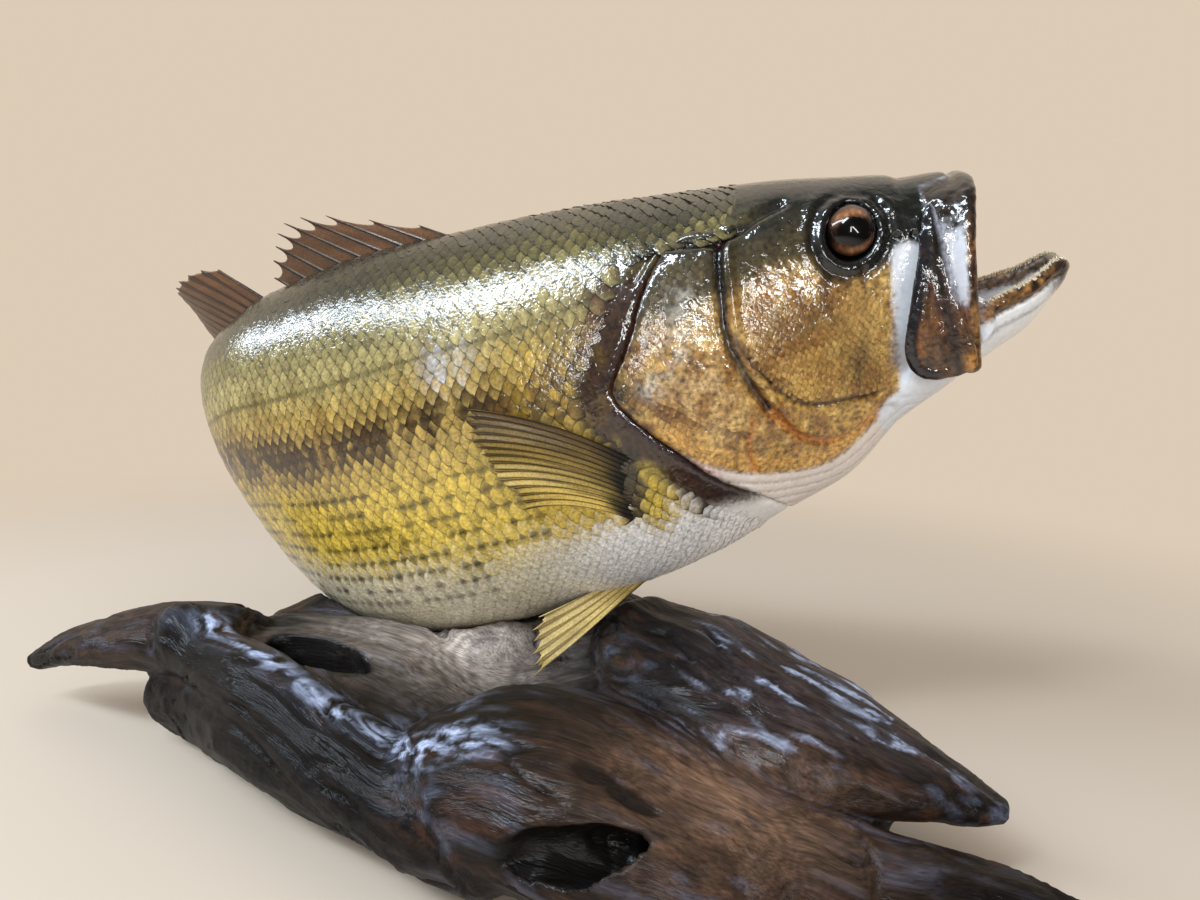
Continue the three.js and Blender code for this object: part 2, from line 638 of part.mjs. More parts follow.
function addHead() {
  const whole = headSolid.intersect(headZone).subtract(headPrism([...FACE_EDGE, [-20, 70]]));
  const core = headCore(PLATE_DEPTH);
  for (const [side, from, to] of [["right", -120, -4], ["left", 4, 120]]) {
    add(`gill_cover_${side}`, whole.intersect(headPrism(PLATE, from, to)).subtract(core), COLOURS.plate);
  }
  const jawRoom = toSolid(jawLoft(GAP, true));
  const plateRoom = headPrism(grown(PLATE, GAP)).subtract(headCore(PLATE_DEPTH + GAP));
  add("gill_membranes", whole.intersect(headPrism(UNDERSIDE)).subtract(jawRoom).subtract(plateRoom),
    COLOURS.white);
  let skull = whole.subtract(plateRoom).subtract(headPrism(grown(UNDERSIDE, GAP)));
  skull = skull.subtract(jawRoom).subtract(mouthCavity());
  for (const [side, hand] of [["right", -1], ["left", 1]]) {
    skull = skull.subtract(eyeball(hand, EYE_RADIUS + GAP));
    add(`eye_${side}`, eyeball(hand, EYE_RADIUS), COLOURS.eye, 0.1);
    add(`maxilla_${side}`, maxilla(hand), COLOURS.horn);
  }
  add("head", skull, COLOURS.head);
  add("upper_lip", upperLip(), COLOURS.lip);
  add("lower_jaw", jawLoft(), COLOURS.white);
}

const TRUNK_NAMES = ["trunk_front", "trunk_middle", "trunk_rear", "tail_stalk"];
const TRUNK_CUTS = [70, 215, 300, 395, BODY_LENGTH];

// One length of the trunk between two cuts, `grow` larger all round, starting `gap` late.
function trunkLength(i, grow = 0, gap = 0) {
  return toSolid(bodyLength(TRUNK_CUTS[i] + gap, TRUNK_CUTS[i + 1], { grow }));
}

function addTrunk() {
  const headRoom = headPrism(grown(headOutline, GAP));
  TRUNK_NAMES.forEach((name, i) => {
    add(name, i === 0 ? trunkLength(i).subtract(headRoom) : trunkLength(i, 0, GAP), COLOURS.scales);
  });
}

function addFins(bodyHull) {
  const fins = {
    spiny_dorsal: [fin(spinyDorsalRays(), { notch: 0.22 }), COLOURS.brownFin],
    soft_dorsal: [fin(softDorsalRays()), COLOURS.brownFin],
    anal_fin: [fin(analRays()), COLOURS.brownFin],
    tail_fin: [fin(tailRays()), COLOURS.brownFin],
    pectoral_right: [pectoral(-1), COLOURS.yellowFin],
    pectoral_left: [pectoral(1), COLOURS.yellowFin],
    pelvic_right: [pelvic(-1), COLOURS.yellowFin],
    pelvic_left: [pelvic(1), COLOURS.yellowFin],
  };
  for (const [name, [shape, colour]] of Object.entries(fins)) {
    add(name, shape.subtract(bodyHull), colour, 0.45);
  }
}

function addDriftwood(bodyHull) {
  const mainNames = ["block", "saddle", "ridge", "knob", "backLimb", "heel"];
  const swirlNames = ["swirl", "toe"];
  const floor = toSolid(new THREE.BoxGeometry(1200, 1200, FLOOR_SLAB).translate(0, 0, -FLOOR_SLAB / 2));
  const holes = WOOD_HOLES.map((hole) => pit(...hole)).reduce((sum, next) => sum.add(next));
  const main = joined(mainNames);
  const mainRoom = joined(mainNames, GAP);
  const swirl = joined(swirlNames).subtract(mainRoom);
  const swirlRoom = joined(swirlNames, GAP);
  const pieces = {
    driftwood_block: main,
    driftwood_arm: limb(LIMBS.arm).subtract(mainRoom),
    driftwood_swirl: swirl,
    driftwood_fluke: limb(LIMBS.fluke).subtract(mainRoom).subtract(swirlRoom),
  };
  for (const [name, piece] of Object.entries(pieces)) {
    add(name, piece.subtract(floor).subtract(holes).subtract(bodyHull), COLOURS.wood, 0.4);
  }
}

// Sets the origin at the centre of the mount's rectangle, on the floor.
function centreOnFloor() {
  const box = new THREE.Box3().setFromObject(group);
  const middle = box.getCenter(new THREE.Vector3());
  group.position.set(-middle.x, -middle.y, -box.min.z);
}

const bodyHull = TRUNK_NAMES.map((_, i) => trunkLength(i, GAP)).reduce((sum, next) => sum.add(next));
addHead();
addTrunk();
addFins(bodyHull);
addDriftwood(bodyHull);
centreOnFloor();

export default group;
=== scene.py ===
"""A largemouth bass mounted on driftwood, at life size.

The fish is drawn straight, in millimetres, by its `back` (distance behind the tip of the
snout), its `side` (to the fish's left) and its `rise` (over the spine line). The pose then
carries every point into the frame, in metres.
"""

import logging
import math
from dataclasses import dataclass
from enum import Enum
from typing import Any

import bpy
import numpy as np
import openvdb
from mathutils import Matrix, Vector


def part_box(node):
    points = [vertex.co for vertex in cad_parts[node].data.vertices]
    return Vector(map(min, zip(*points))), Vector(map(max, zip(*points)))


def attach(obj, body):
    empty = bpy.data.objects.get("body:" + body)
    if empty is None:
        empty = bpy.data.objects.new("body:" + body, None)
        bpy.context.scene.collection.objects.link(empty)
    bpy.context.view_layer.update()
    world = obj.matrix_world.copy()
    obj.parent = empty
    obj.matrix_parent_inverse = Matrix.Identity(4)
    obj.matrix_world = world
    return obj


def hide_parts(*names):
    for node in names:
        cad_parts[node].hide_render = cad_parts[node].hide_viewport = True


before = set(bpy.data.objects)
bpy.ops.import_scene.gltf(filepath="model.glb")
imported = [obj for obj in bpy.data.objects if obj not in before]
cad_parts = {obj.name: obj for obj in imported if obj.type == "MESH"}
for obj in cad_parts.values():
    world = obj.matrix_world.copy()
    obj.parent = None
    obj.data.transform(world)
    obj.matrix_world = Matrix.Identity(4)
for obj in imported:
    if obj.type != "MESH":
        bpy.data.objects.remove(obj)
LOG = logging.getLogger("bass")
MM = 0.001
Array = np.ndarray
Points2 = tuple[tuple[float, float], ...]
Place = tuple[float, float, float]
Colour = tuple[int, int, int]
Thing = bpy.types.Object
Mesh = bpy.types.Mesh
Material = bpy.types.Material
Socket = bpy.types.NodeSocket


# ---- curves and outlines ------------------------------------------------------------------
@dataclass(frozen=True)
class Track:
    """Smooth curve through stations (place, value), without overshoot."""

    stations: Points2

    def __call__(self, at: Array | float) -> Array:
        """The value at each place, held level beyond both ends.

        Args:
            at: The places.

        Returns:
            The values.
        """
        x, y = np.array(self.stations, float).T
        step = np.diff(y) / np.diff(x)
        before, after = step[:-1], step[1:]
        total = np.where(before * after > 0, before + after, 1.0)
        inner = np.where(before * after > 0, 2 * before * after / total, 0.0)
        slope = np.concatenate([step[:1], inner, step[-1:]])
        at = np.clip(np.asarray(at, float), x[0], x[-1])
        i = np.clip(np.searchsorted(x, at, side="right") - 1, 0, len(x) - 2)
        wide = x[i + 1] - x[i]
        t = (at - x[i]) / wide
        return ((2 * t**3 - 3 * t**2 + 1) * y[i] + (t**3 - 2 * t**2 + t) * wide * slope[i]
                + (3 * t**2 - 2 * t**3) * y[i + 1] + (t**3 - t**2) * wide * slope[i + 1])


def ease(low: float, high: float, value: Array) -> Array:
    """Eased step from 0 at `low` to 1 at `high`; `low` may be the greater."""
    t = np.clip((value - low) / (high - low), 0.0, 1.0)
    return t * t * (3 - 2 * t)


def bell(value: Array, middle: Array | float, width: Array | float, power: int = 2) -> Array:
    """1 where `value` is at `middle`, falling to 0 over `width`; steeper for a higher power."""
    return np.exp(-(((value - middle) / width) ** power))


def mound(points: Array, centre: Place, size: Place) -> Array:
    """1 at the centre, falling to 0 over `size` along each axis."""
    return np.exp(-((((points - centre) / size) ** 2).sum(1)))


def spots(back: Array, side: Array, rise: Array) -> Array:
    """The three coordinates as one array of points."""
    return np.stack([back, side, rise], -1)


def swung(x: Array, y: Array, turn: float) -> tuple[Array, Array]:
    """Coordinates along two axes that are turned by `turn` degrees."""
    cos, sin = math.cos(math.radians(turn)), math.sin(math.radians(turn))
    return x * cos + y * sin, y * cos - x * sin


def rounded(points: Points2, closed: bool, rounds: int = 2) -> Array:
    """The points with their corners cut off, `rounds` times.

    Args:
        points: Corners of the line.
        closed: True for a ring.
        rounds: How often each corner is cut.

    Returns:
        The finer line's points.
    """
    line = np.array(points, float)
    for _ in range(rounds):
        ahead = np.roll(line, -1, axis=0) if closed else line[1:]
        here = line if closed else line[:-1]
        cut = np.stack([0.75 * here + 0.25 * ahead, 0.25 * here + 0.75 * ahead], 1).reshape(-1, 2)
        line = cut if closed else np.vstack([line[:1], cut, line[-1:]])
    return line


def line_distance(line: Array, x: Array, y: Array) -> Array:
    """Distance from each (x, y) to an open line of points.

    Args:
        line: The line's points.
        x: First coordinate.
        y: Second coordinate.

    Returns:
        The distances.
    """
    best = np.full(np.broadcast(x, y).shape, 1e9)
    for (ax, ay), (bx, by) in zip(line[:-1], line[1:]):
        dx, dy = bx - ax, by - ay
        t = np.clip(((x - ax) * dx + (y - ay) * dy) / max(dx * dx + dy * dy, 1e-9), 0, 1)
        best = np.minimum(best, (x - ax - t * dx) ** 2 + (y - ay - t * dy) ** 2)
    return np.sqrt(best)


@dataclass(frozen=True)
class Outline:
    """A closed outline with softened corners."""

    corners: Points2
    rounds: int = 2

    def distance(self, x: Array, y: Array) -> Array:
        """Signed distance to the outline, negative inside.

        Args:
            x: First coordinate.
            y: Second coordinate.

        Returns:
            The distances.
        """
        line = rounded(self.corners, True, self.rounds)
        inside = np.zeros(np.broadcast(x, y).shape, bool)
        for (ax, ay), (bx, by) in zip(line, np.roll(line, -1, axis=0)):
            if ay != by:
                crosses = (ay > y) != (by > y)
                inside ^= crosses & (x < (bx - ax) * (y - ay) / (by - ay) + ax)
        far = line_distance(np.vstack([line, line[:1]]), x, y)
        return np.where(inside, -far, far)


@dataclass(frozen=True)
class Stroke:
    """A soft line on the fish's flank, drawn in (back, rise)."""

    points: Points2
    width: float

    def mask(self, back: Array, rise: Array) -> Array:
        """1 on the line, fading to 0 across its width."""
        far = line_distance(rounded(self.points, False), back, rise)
        return bell(far, 0, self.width)


def lattice(cells: Array, seed: int) -> Array:
    """One steady random number from 0 to 1 for each whole-numbered cell.

    Args:
        cells: Whole-numbered cells.
        seed: Which pattern.

    Returns:
        The numbers.
    """
    with np.errstate(over="ignore"):
        i = cells.astype(np.int64)
        h = i[..., 0] * 374761393 + i[..., 1] * 668265263 + i[..., 2] * 2147483647 + seed * 974711
        h = (h ^ (h >> 13)) * 1274126177
        h = (h ^ (h >> 16)) & 0xFFFFFF
    return h / float(0xFFFFFF)


def noise(points: Array, size: float, seed: int = 0) -> Array:
    """Smooth noise from -1 to 1 with lumps about `size` across.

    Args:
        points: The points.
        size: How wide a lump is.
        seed: Which pattern.

    Returns:
        The noise.
    """
    p = points / size
    cell = np.floor(p)
    f = p - cell
    f = f * f * (3 - 2 * f)
    total = np.zeros(points.shape[:-1])
    for dx in (0, 1):
        for dy in (0, 1):
            for dz in (0, 1):
                share = (f[..., 0] if dx else 1 - f[..., 0]) * (f[..., 1] if dy else 1 - f[..., 1])
                share = share * (f[..., 2] if dz else 1 - f[..., 2])
                total += share * lattice(cell + (dx, dy, dz), seed)
    return total * 2 - 1


def layered(points: Array, size: float, seed: int = 0, layers: int = 3) -> Array:
    """Noise in layers, each half the size and strength of the one before.

    Args:
        points: The points.
        size: How wide a lump is.
        seed: Which pattern.
        layers: How many layers.

    Returns:
        The noise.
    """
    total = np.zeros(points.shape[:-1])
    for k in range(layers):
        total += noise(points, size / 2**k, seed + 17 * k) / 2**k
    return total / (2 - 0.5 ** (layers - 1))


def waves(points: Array, size: float, seed: int) -> Array:
    """A different noise for each axis, to bend a pattern with."""
    return np.stack([layered(points, size, seed + k, 2) for k in range(3)], -1)


def soft_min(a: Array, b: Array, blend: float) -> Array:
    """The smaller of two fields, blended where they meet."""
    h = np.clip(0.5 + 0.5 * (b - a) / blend, 0, 1)
    return b + (a - b) * h - blend * h * (1 - h)


def soft_max(a: Array, b: Array, blend: float) -> Array:
    """The greater of two fields, blended where they meet."""
    return -soft_min(-a, -b, blend)


# ---- pose and body --------------------------------------------------------------------------
@dataclass(frozen=True)
class Pose:
    """How the spine turns, climbs and banks, in degrees, and where the eye stands."""

    turn: Track = Track((
        (130, 12), (190, 18), (250, 27), (318, 40), (360, 56), (400, 77), (470, 110)))
    climb: Track = Track(((140, 14), (190, 15), (250, 12), (320, 5), (400, -2), (470, -6)))
    bank: Track = Track(((60, 13), (190, 14), (260, 20), (330, 30), (390, 38), (470, 34)))
    eye_back: float = 48.6
    eye_side: float = 18.5
    eye_rise: float = 38.5
    start: float = -40.0
    end: float = 560.0
    step: float = 2.0

    def axes(self, back: Array) -> tuple[Array, Array, Array]:
        """Ahead, left and up at each station.

        Args:
            back: Distances behind the snout.

        Returns:
            Unit vectors ahead, left and up.
        """
        turn, climb, bank = (np.radians(t(back)) for t in (self.turn, self.climb, self.bank))
        flat = np.zeros_like(turn)
        ahead = np.stack([np.cos(climb) * np.cos(turn), -np.cos(climb) * np.sin(turn),
                          np.sin(climb)], -1)
        level = np.stack([np.sin(turn), np.cos(turn), flat], -1)
        upright = np.cross(ahead, level)
        cos, sin = np.cos(bank)[..., None], np.sin(bank)[..., None]
        return ahead, level * cos + upright * sin, upright * cos - level * sin

    def spine(self) -> tuple[Array, Array]:
        """Stations and the spine's points, with the right eye where the frame has it.

        Returns:
            The stations and the points, in millimetres.
        """
        stations = np.arange(self.start, self.end + self.step, self.step)
        ahead = self.axes(stations[:-1] + self.step / 2)[0]
        run = np.vstack([np.zeros(3), np.cumsum(-self.step * ahead, axis=0)])
        low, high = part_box("eye_right")
        eye = (np.array(low) + np.array(high)) / 2 / MM
        here = np.array([np.interp(self.eye_back, stations, run[:, k]) for k in range(3)])
        _, left, up = self.axes(np.array(self.eye_back))
        return stations, run - here + eye + self.eye_side * left - self.eye_rise * up

    def place(self, back: Array, side: Array, rise: Array) -> Array:
        """The place in the frame, in metres, of points of the straight fish.

        Args:
            back, side, rise: The points' coordinates, in millimetres.

        Returns:
            The places.
        """
        back, side, rise = np.broadcast_arrays(*(np.asarray(v, float) for v in (back, side, rise)))
        stations, points = self.spine()
        centre = np.stack([np.interp(back, stations, points[:, k]) for k in range(3)], -1)
        _, left, up = self.axes(back)
        return (centre + side[..., None] * left + rise[..., None] * up) * MM

    def unplace(self, points: Array, rounds: int = 8) -> tuple[Array, Array, Array]:
        """Back, side and rise of points given in the frame, in metres.

        Args:
            points: Points in the frame, in metres.
            rounds: How many steps towards the answer.

        Returns:
            Back, side and rise.
        """
        stations, spine = self.spine()
        at = points / MM
        near = np.array([((at - p) ** 2).sum(-1) for p in spine[::10]]).argmin(0)
        back = stations[::10][near]
        for _ in range(rounds):
            centre = np.stack([np.interp(back, stations, spine[:, k]) for k in range(3)], -1)
            ahead, left, up = self.axes(back)
            back = np.clip(back - 0.8 * ((at - centre) * ahead).sum(-1), stations[0], stations[-1])
        off = at - centre
        return back, (off * left).sum(-1), (off * up).sum(-1)


@dataclass(frozen=True)
class Body:
    """The straight body: outline, width and fullness at each station."""

    length: float = 470.0
    top: Track = Track((
        (0, 45), (3, 49), (14, 51), (27, 52), (31, 54), (46, 57), (73, 62), (100, 65), (150, 70),
        (200, 73), (240, 75), (300, 70), (340, 60), (400, 41), (430, 33), (470, 35)))
    bottom: Track = Track((
        (8, -14), (24, -22), (36, -34), (50, -52), (64, -63), (86, -72), (102, -79), (120, -86),
        (147, -93), (190, -99), (240, -106), (290, -109), (340, -100), (400, -54), (430, -30),
        (470, -35)))
    half_width: Track = Track((
        (4, 17), (20, 22.5), (36, 26), (60, 33.5), (95, 43), (125, 48), (170, 53), (215, 56),
        (260, 55), (320, 49), (380, 34), (430, 18), (456, 11.5), (470, 5)))
    level: Track = Track((
        (0, 10), (40, 8), (90, 0), (150, -12), (220, -16), (300, -24), (360, -20), (430, -2)))
    roof: Track = Track(((20, 2.7), (80, 2.3), (150, 2.0), (300, 2.0), (470, 2.0)))
    keel: Track = Track((
        (20, 2.0), (80, 1.9), (150, 2.2), (230, 2.5), (300, 2.9), (370, 2.8), (430, 2.0)))
    cover_lift: Track = Track(((90, 0), (120, 2.6), (150, 2.6)))
    lateral: Track = Track((
        (94, 50), (120, 44), (140, 38), (170, 33), (300, 31), (345, 22), (400, 6), (430, 1),
        (470, 0)))

    def distance(self, back: Array, side: Array, rise: Array, lift: Array | float = 0.0) -> Array:
        """Distance to the body's surface, negative inside, `lift` wider at the gill covers.

        Args:
            back, side, rise: The points' coordinates, in millimetres.
            lift: How much wider the body is here.

        Returns:
            The distances.
        """
        level, width = self.level(back), self.half_width(back) + lift
        over = rise > level
        tall = np.where(over, self.top(back) - level, level - self.bottom(back)).astype(np.float32)
        power = np.where(over, self.roof(back), self.keel(back)).astype(np.float32)
        x = (np.abs(side) / width).astype(np.float32) + 1e-4
        z = (np.abs(rise - level) / tall).astype(np.float32) + 1e-4
        xp, zp = x ** (power - 1), z ** (power - 1)
        total = xp * x + zp * z
        root = total ** (1 / power)
        slope = np.sqrt((xp / width) ** 2 + (zp / tall) ** 2) * root / total
        return (root - 1) / np.maximum(slope, 1e-3)

    def section(self, back: Array, angle: Array, inset: float = 0.0) -> tuple[Array, Array]:
        """Side and rise of the right flank at `angle`, 0 on the back and pi on the belly.

        Args:
            back: Distances behind the snout.
            angle: Angle round the body, 0 on the back.
            inset: How far inside the surface.

        Returns:
            Side and rise.
        """
        level = self.level(back)
        cos, sin = np.cos(angle), np.sin(angle)
        power = 2 / np.where(cos > 0, self.roof(back), self.keel(back))
        reach = np.where(cos > 0, self.top(back) - level, level - self.bottom(back)) - inset
        side = -(self.half_width(back) - inset) * np.abs(sin) ** power
        return side, level + reach * np.sign(cos) * np.abs(cos) ** power


POSE = Pose()
BODY = Body()


# ---- meshes ---------------------------------------------------------------------------------
def linked(name: str, data: bpy.types.ID) -> Thing:
    """A new object in the scene that shows `data`.

    Args:
        name: The name.
        data: What it shows.

    Returns:
        The object.
    """
    made = bpy.data.objects.new(name, data)
    bpy.context.scene.collection.objects.link(made)
    return made


def new_object(name: str, points: Array, faces: list | Array) -> Thing:
    """A smooth mesh object at the origin.

    Args:
        name: The object's name.
        points: Its points, in metres.
        faces: Its faces, all with the same number of corners.

    Returns:
        The object.
    """
    mesh = bpy.data.meshes.new(name)
    faces = np.asarray(faces)
    mesh.vertices.add(len(points))
    mesh.vertices.foreach_set("co", np.asarray(points, np.float32).ravel())
    sides = faces.shape[1]
    mesh.loops.add(faces.size)
    mesh.loops.foreach_set("vertex_index", faces.astype(np.int32).ravel())
    mesh.polygons.add(len(faces))
    mesh.polygons.foreach_set("loop_start", np.arange(0, faces.size, sides, dtype=np.int32))
    mesh.polygons.foreach_set("use_smooth", np.full(len(faces), True))
    mesh.update(calc_edges=True)
    mesh.validate()
    return linked(name, mesh)


def set_colour(mesh: Mesh, colours: Array) -> None:
    """Stores a linear colour for every point.

    Args:
        mesh: The mesh.
        colours: The colours.
    """
    layer = mesh.color_attributes.new("paint", "FLOAT_COLOR", "POINT")
    full = np.ones((len(mesh.vertices), 4), np.float32)
    full[:, :3] = np.clip(colours, 0, 1)
    layer.data.foreach_set("color", full.ravel())


def set_value(mesh: Mesh, name: str, values: Array) -> None:
    """Stores one number or vector for every point.

    Args:
        mesh: The mesh.
        name: The name.
        values: The values.
    """
    flat = values.ndim == 1
    layer = mesh.attributes.new(name, "FLOAT" if flat else "FLOAT_VECTOR", "POINT")
    layer.data.foreach_set("value" if flat else "vector", values.astype(np.float32).ravel())


def outward(points: Array, faces: Array) -> Array:
    """The faces, turned so that they enclose a positive volume.

    Args:
        points: The points.
        faces: The faces, by point numbers.

    Returns:
        The faces.
    """
    a, b, c = points[faces[:, 0]], points[faces[:, 1]], points[faces[:, 2]]
    volume = (a * np.cross(b, c)).sum()
    if faces.shape[1] == 4:
        volume += (a * np.cross(c, points[faces[:, 3]])).sum()
    return faces if volume > 0 else faces[:, ::-1]


def point_normals(points: Array, faces: Array) -> Array:
    """Unit normals of a mesh of four-sided faces.

    Args:
        points: The points.
        faces: The faces, by point numbers.

    Returns:
        The normals.
    """
    across = points[faces[:, 2]] - points[faces[:, 0]]
    along = points[faces[:, 3]] - points[faces[:, 1]]
    flat = np.cross(across, along)
    total = np.zeros_like(points)
    for k in range(4):
        for axis in range(3):
            total[:, axis] += np.bincount(faces[:, k], flat[:, axis], len(points))
    return total / np.maximum(np.linalg.norm(total, axis=1, keepdims=True), 1e-12)


def surface_of(grid_field: Array, lines: tuple[Array, Array, Array]) -> tuple[Array, Array]:
    """Points and four-sided faces where a field crosses zero.

    Args:
        grid_field: The field's values on the grid, negative inside.
        lines: The place of every grid plane along each axis.

    Returns:
        The points, in the grid's own units, and the faces, turned outwards.
    """
    grid = openvdb.FloatGrid(background=3.0)
    grid.copyFromArray(np.clip(grid_field, -3, 3).astype(np.float32), tolerance=0.0)
    points, triangles, quads = grid.convertToPolygons(isovalue=0.0, adaptivity=0.0)
    at = [np.interp(points[:, k], np.arange(len(lines[k])), lines[k]) for k in range(3)]
    at = np.stack(at, -1)
    return at, outward(at, np.asarray(quads, np.int64))


def decimated(piece: Thing, most: int) -> None:
    """Brings a piece down to at most `most` triangles where it is flattest.

    Args:
        piece: The piece.
        most: The most triangles it may keep.
    """
    piece.data.calc_loop_triangles()
    count = len(piece.data.loop_triangles)
    if count <= most:
        return
    mod = piece.modifiers.new("fewer", "DECIMATE")
    mod.ratio = most / count * 0.98
    bake_modifiers(piece)


def bake_modifiers(piece: Thing) -> None:
    """Turns what a piece's modifiers make into its plain mesh.

    Args:
        piece: The piece.
    """
    graph = bpy.context.evaluated_depsgraph_get()
    graph.update()
    made = bpy.data.meshes.new_from_object(piece.evaluated_get(graph))
    piece.modifiers.clear()
    old = piece.data
    piece.data = made
    bpy.data.meshes.remove(old)


def stands_for(piece: Thing, slot: str, *nodes: str) -> None:
    """Ties a finished piece to the frame and reports it.

    Args:
        piece: The piece.
        slot: The paint slot; not used.
        nodes: CAD nodes that it replaces.
    """
    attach(piece, "root")
    if nodes:
        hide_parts(*nodes)
    piece.data.calc_loop_triangles()
    LOG.info("%s: %d triangles", piece.name, len(piece.data.loop_triangles))


# ---- sculpting the skin ---------------------------------------------------------------------
@dataclass(frozen=True)
class Mouth:
    """The gape, the lower jaw, the upper lip's arch and the plates behind it."""

    gape_rise: Track = Track(((-5, 23), (20, 18), (45, 8), (75, 2)))
    gape_height: Track = Track(((-5, 27), (20, 24), (45, 17), (75, 8)))
    gape_width: Track = Track(((-5, 21), (20, 22), (45, 19), (75, 9)))
    jaw_tip: float = -29.0
    jaw_joint: float = 46.0
    jaw_rim: Track = Track((
        (-29, 9), (-24, 11), (-14, 7), (0, 4), (12, 1), (24, -8), (36, -19), (46, -27)))
    jaw_keel: Track = Track((
        (-29, 5), (-26, 0), (-20, -6), (-10, -15), (0, -20), (10, -25), (20, -31), (34, -38),
        (46, -45)))
    jaw_width: Track = Track((
        (-29, 4), (-26, 8), (-18, 13), (-6, 18.5), (8, 22.5), (25, 24.5), (36, 23), (46, 19)))
    jaw_wall: Track = Track(((-29, 4), (-20, 5), (46, 5)))
    jaw_floor: Track = Track(((-29, 3), (-18, 6), (0, 7), (46, 8)))
    lip_back: Track = Track(((-19, 10), (0, 9), (20, 7.5), (34, 6), (43, 3.5), (47, 2.5)))
    lip_depth: float = 3.6
    lip_thick: float = 2.8
    plate: Outline = Outline((
        (18.6, 38), (17.4, 20), (14.4, 0), (11.6, -12), (12.4, -18.5), (24, -20), (31, -19),
        (35.5, -15), (37, -9), (36.5, -3), (34.5, 4), (31.5, 14), (28, 24), (26, 31), (24, 38),
        (22, 43), (19, 43)), 1)
    plate_thick: float = 3.0
    corner: Outline = Outline(((3, 2), (3, -9), (22, -19), (24, 10), (9, 8)))

    def cavity(self, back: Array, side: Array, rise: Array) -> Array:
        """Distance to the wall of the gape, negative in the hollow.

        Args:
            back, side, rise: The points' coordinates, in millimetres.

        Returns:
            The distances.
        """
        wide, tall = self.gape_width(back), self.gape_height(back)
        x, z = side / wide, (rise - self.gape_rise(back)) / tall
        root = np.sqrt(x * x + z * z) + 1e-4
        around = (root - 1) / np.maximum(np.sqrt((x / wide) ** 2 + (z / tall) ** 2) / root, 1e-3)
        return soft_max(around, back - 74.0, 4.0)

    def jaw_wall_field(self, back: Array, side: Array, rise: Array, inner: bool) -> Array:
        """Distance to the jaw's outer face, or to the trough inside it.

        Args:
            back, side, rise: The points' coordinates, in millimetres.
            inner: True for the trough.

        Returns:
            The distances.
        """
        rim = self.jaw_rim(back)
        wide, deep, power = self.jaw_width(back), rim - self.jaw_keel(back), 2 / 0.85
        if inner:
            wide, deep, power = wide - self.jaw_wall(back), deep - self.jaw_floor(back), 2 / 0.8
        wide, deep = np.maximum(wide, 0.5), np.maximum(deep, 0.5)
        x, z = np.abs(side) / wide, np.maximum(rim - rise, 0) / deep
        total = x * x + z**power
        slope = np.sqrt((2 * x / wide) ** 2 + (power * z ** (power - 1) / deep) ** 2)
        return (total - 1) / np.maximum(slope, 0.08)

    def jaw(self, back: Array, side: Array, rise: Array) -> Array:
        """Distance to the lower jaw's surface.

        Args:
            back, side, rise: The points' coordinates, in millimetres.

        Returns:
            The distances.
        """
        outer = self.jaw_wall_field(back, side, rise, False) + 0.15
        ends = soft_max(self.jaw_tip + 0.3 - back, back - self.jaw_joint, 2.0)
        solid = soft_max(outer, rise - self.jaw_rim(back) + 0.15, 2.2)
        trough = soft_max(self.jaw_wall_field(back, side, rise, True), self.jaw_tip + 7.0 - back,
                          2.0)
        return soft_max(soft_max(solid, -trough, 1.6), ends, 3.0)

    def arch(self, count: int = 90) -> Array:
        """Side and rise along the right half of the upper lip, crown first.

        Args:
            count: How many points.

        Returns:
            The points.
        """
        angle = np.pi * np.linspace(0.5, 1.0, count) - np.pi / 2
        side = 27.0 * np.sin(angle) ** 0.62
        return np.stack([side, -18.0 + 64.5 * np.maximum(np.cos(angle), 0) ** 0.5], -1)

    def lip(self, back: Array, side: Array, rise: Array) -> Array:
        """Distance to the upper lip's arch.

        Args:
            back, side, rise: The points' coordinates, in millimetres.

        Returns:
            The distances.
        """
        line = self.arch()
        flat_side, flat_rise = np.broadcast_arrays(np.abs(side), rise)
        far = line_distance(line, flat_side, flat_rise)
        centre = self.lip_back(rise) + self.lip_depth
        along = (back - centre) / (self.lip_depth - 0.1)
        across = far / (self.lip_thick - 0.1)
        return (np.sqrt(along**2 + across**2) - 1) * 2.6

    def plates(self, back: Array, side: Array, rise: Array) -> Array:
        """Distance to the plate behind the lip on each side.

        Args:
            back, side, rise: The points' coordinates, in millimetres.

        Returns:
            The distances.
        """
        outline = self.plate.distance(back, rise) + 0.1
        middle = 30.2 - 0.0032 * (rise + 8) ** 2 + self.plate_thick / 2
        sheet = np.abs(np.abs(side) - middle) - self.plate_thick / 2 + 0.1
        return soft_max(outline, sheet, 1.8)

    def webs(self, back: Array, side: Array, rise: Array) -> Array:
        """Skin that ties the plates and the jaw's corner to the head.

        Args:
            back, side, rise: The points' coordinates, in millimetres.

        Returns:
            The distances.
        """
        behind = self.plate.distance(back, rise) + 3.0
        behind = soft_max(behind, np.abs(np.abs(side) - 25.0) - 5.2, 1.5)
        flat_side, flat_rise = np.broadcast_arrays(np.abs(side), rise)
        wall = line_distance(self.arch(), flat_side, flat_rise) - 1.5
        inner = np.maximum(self.lip_back(rise) + 4.0 - back, back - 20.5)
        behind = np.minimum(behind, soft_max(wall, inner, 1.0))
        corner = self.corner.distance(back, rise)
        return np.minimum(behind, soft_max(corner, np.abs(np.abs(side) - 23.0) - 1.2, 1.0))


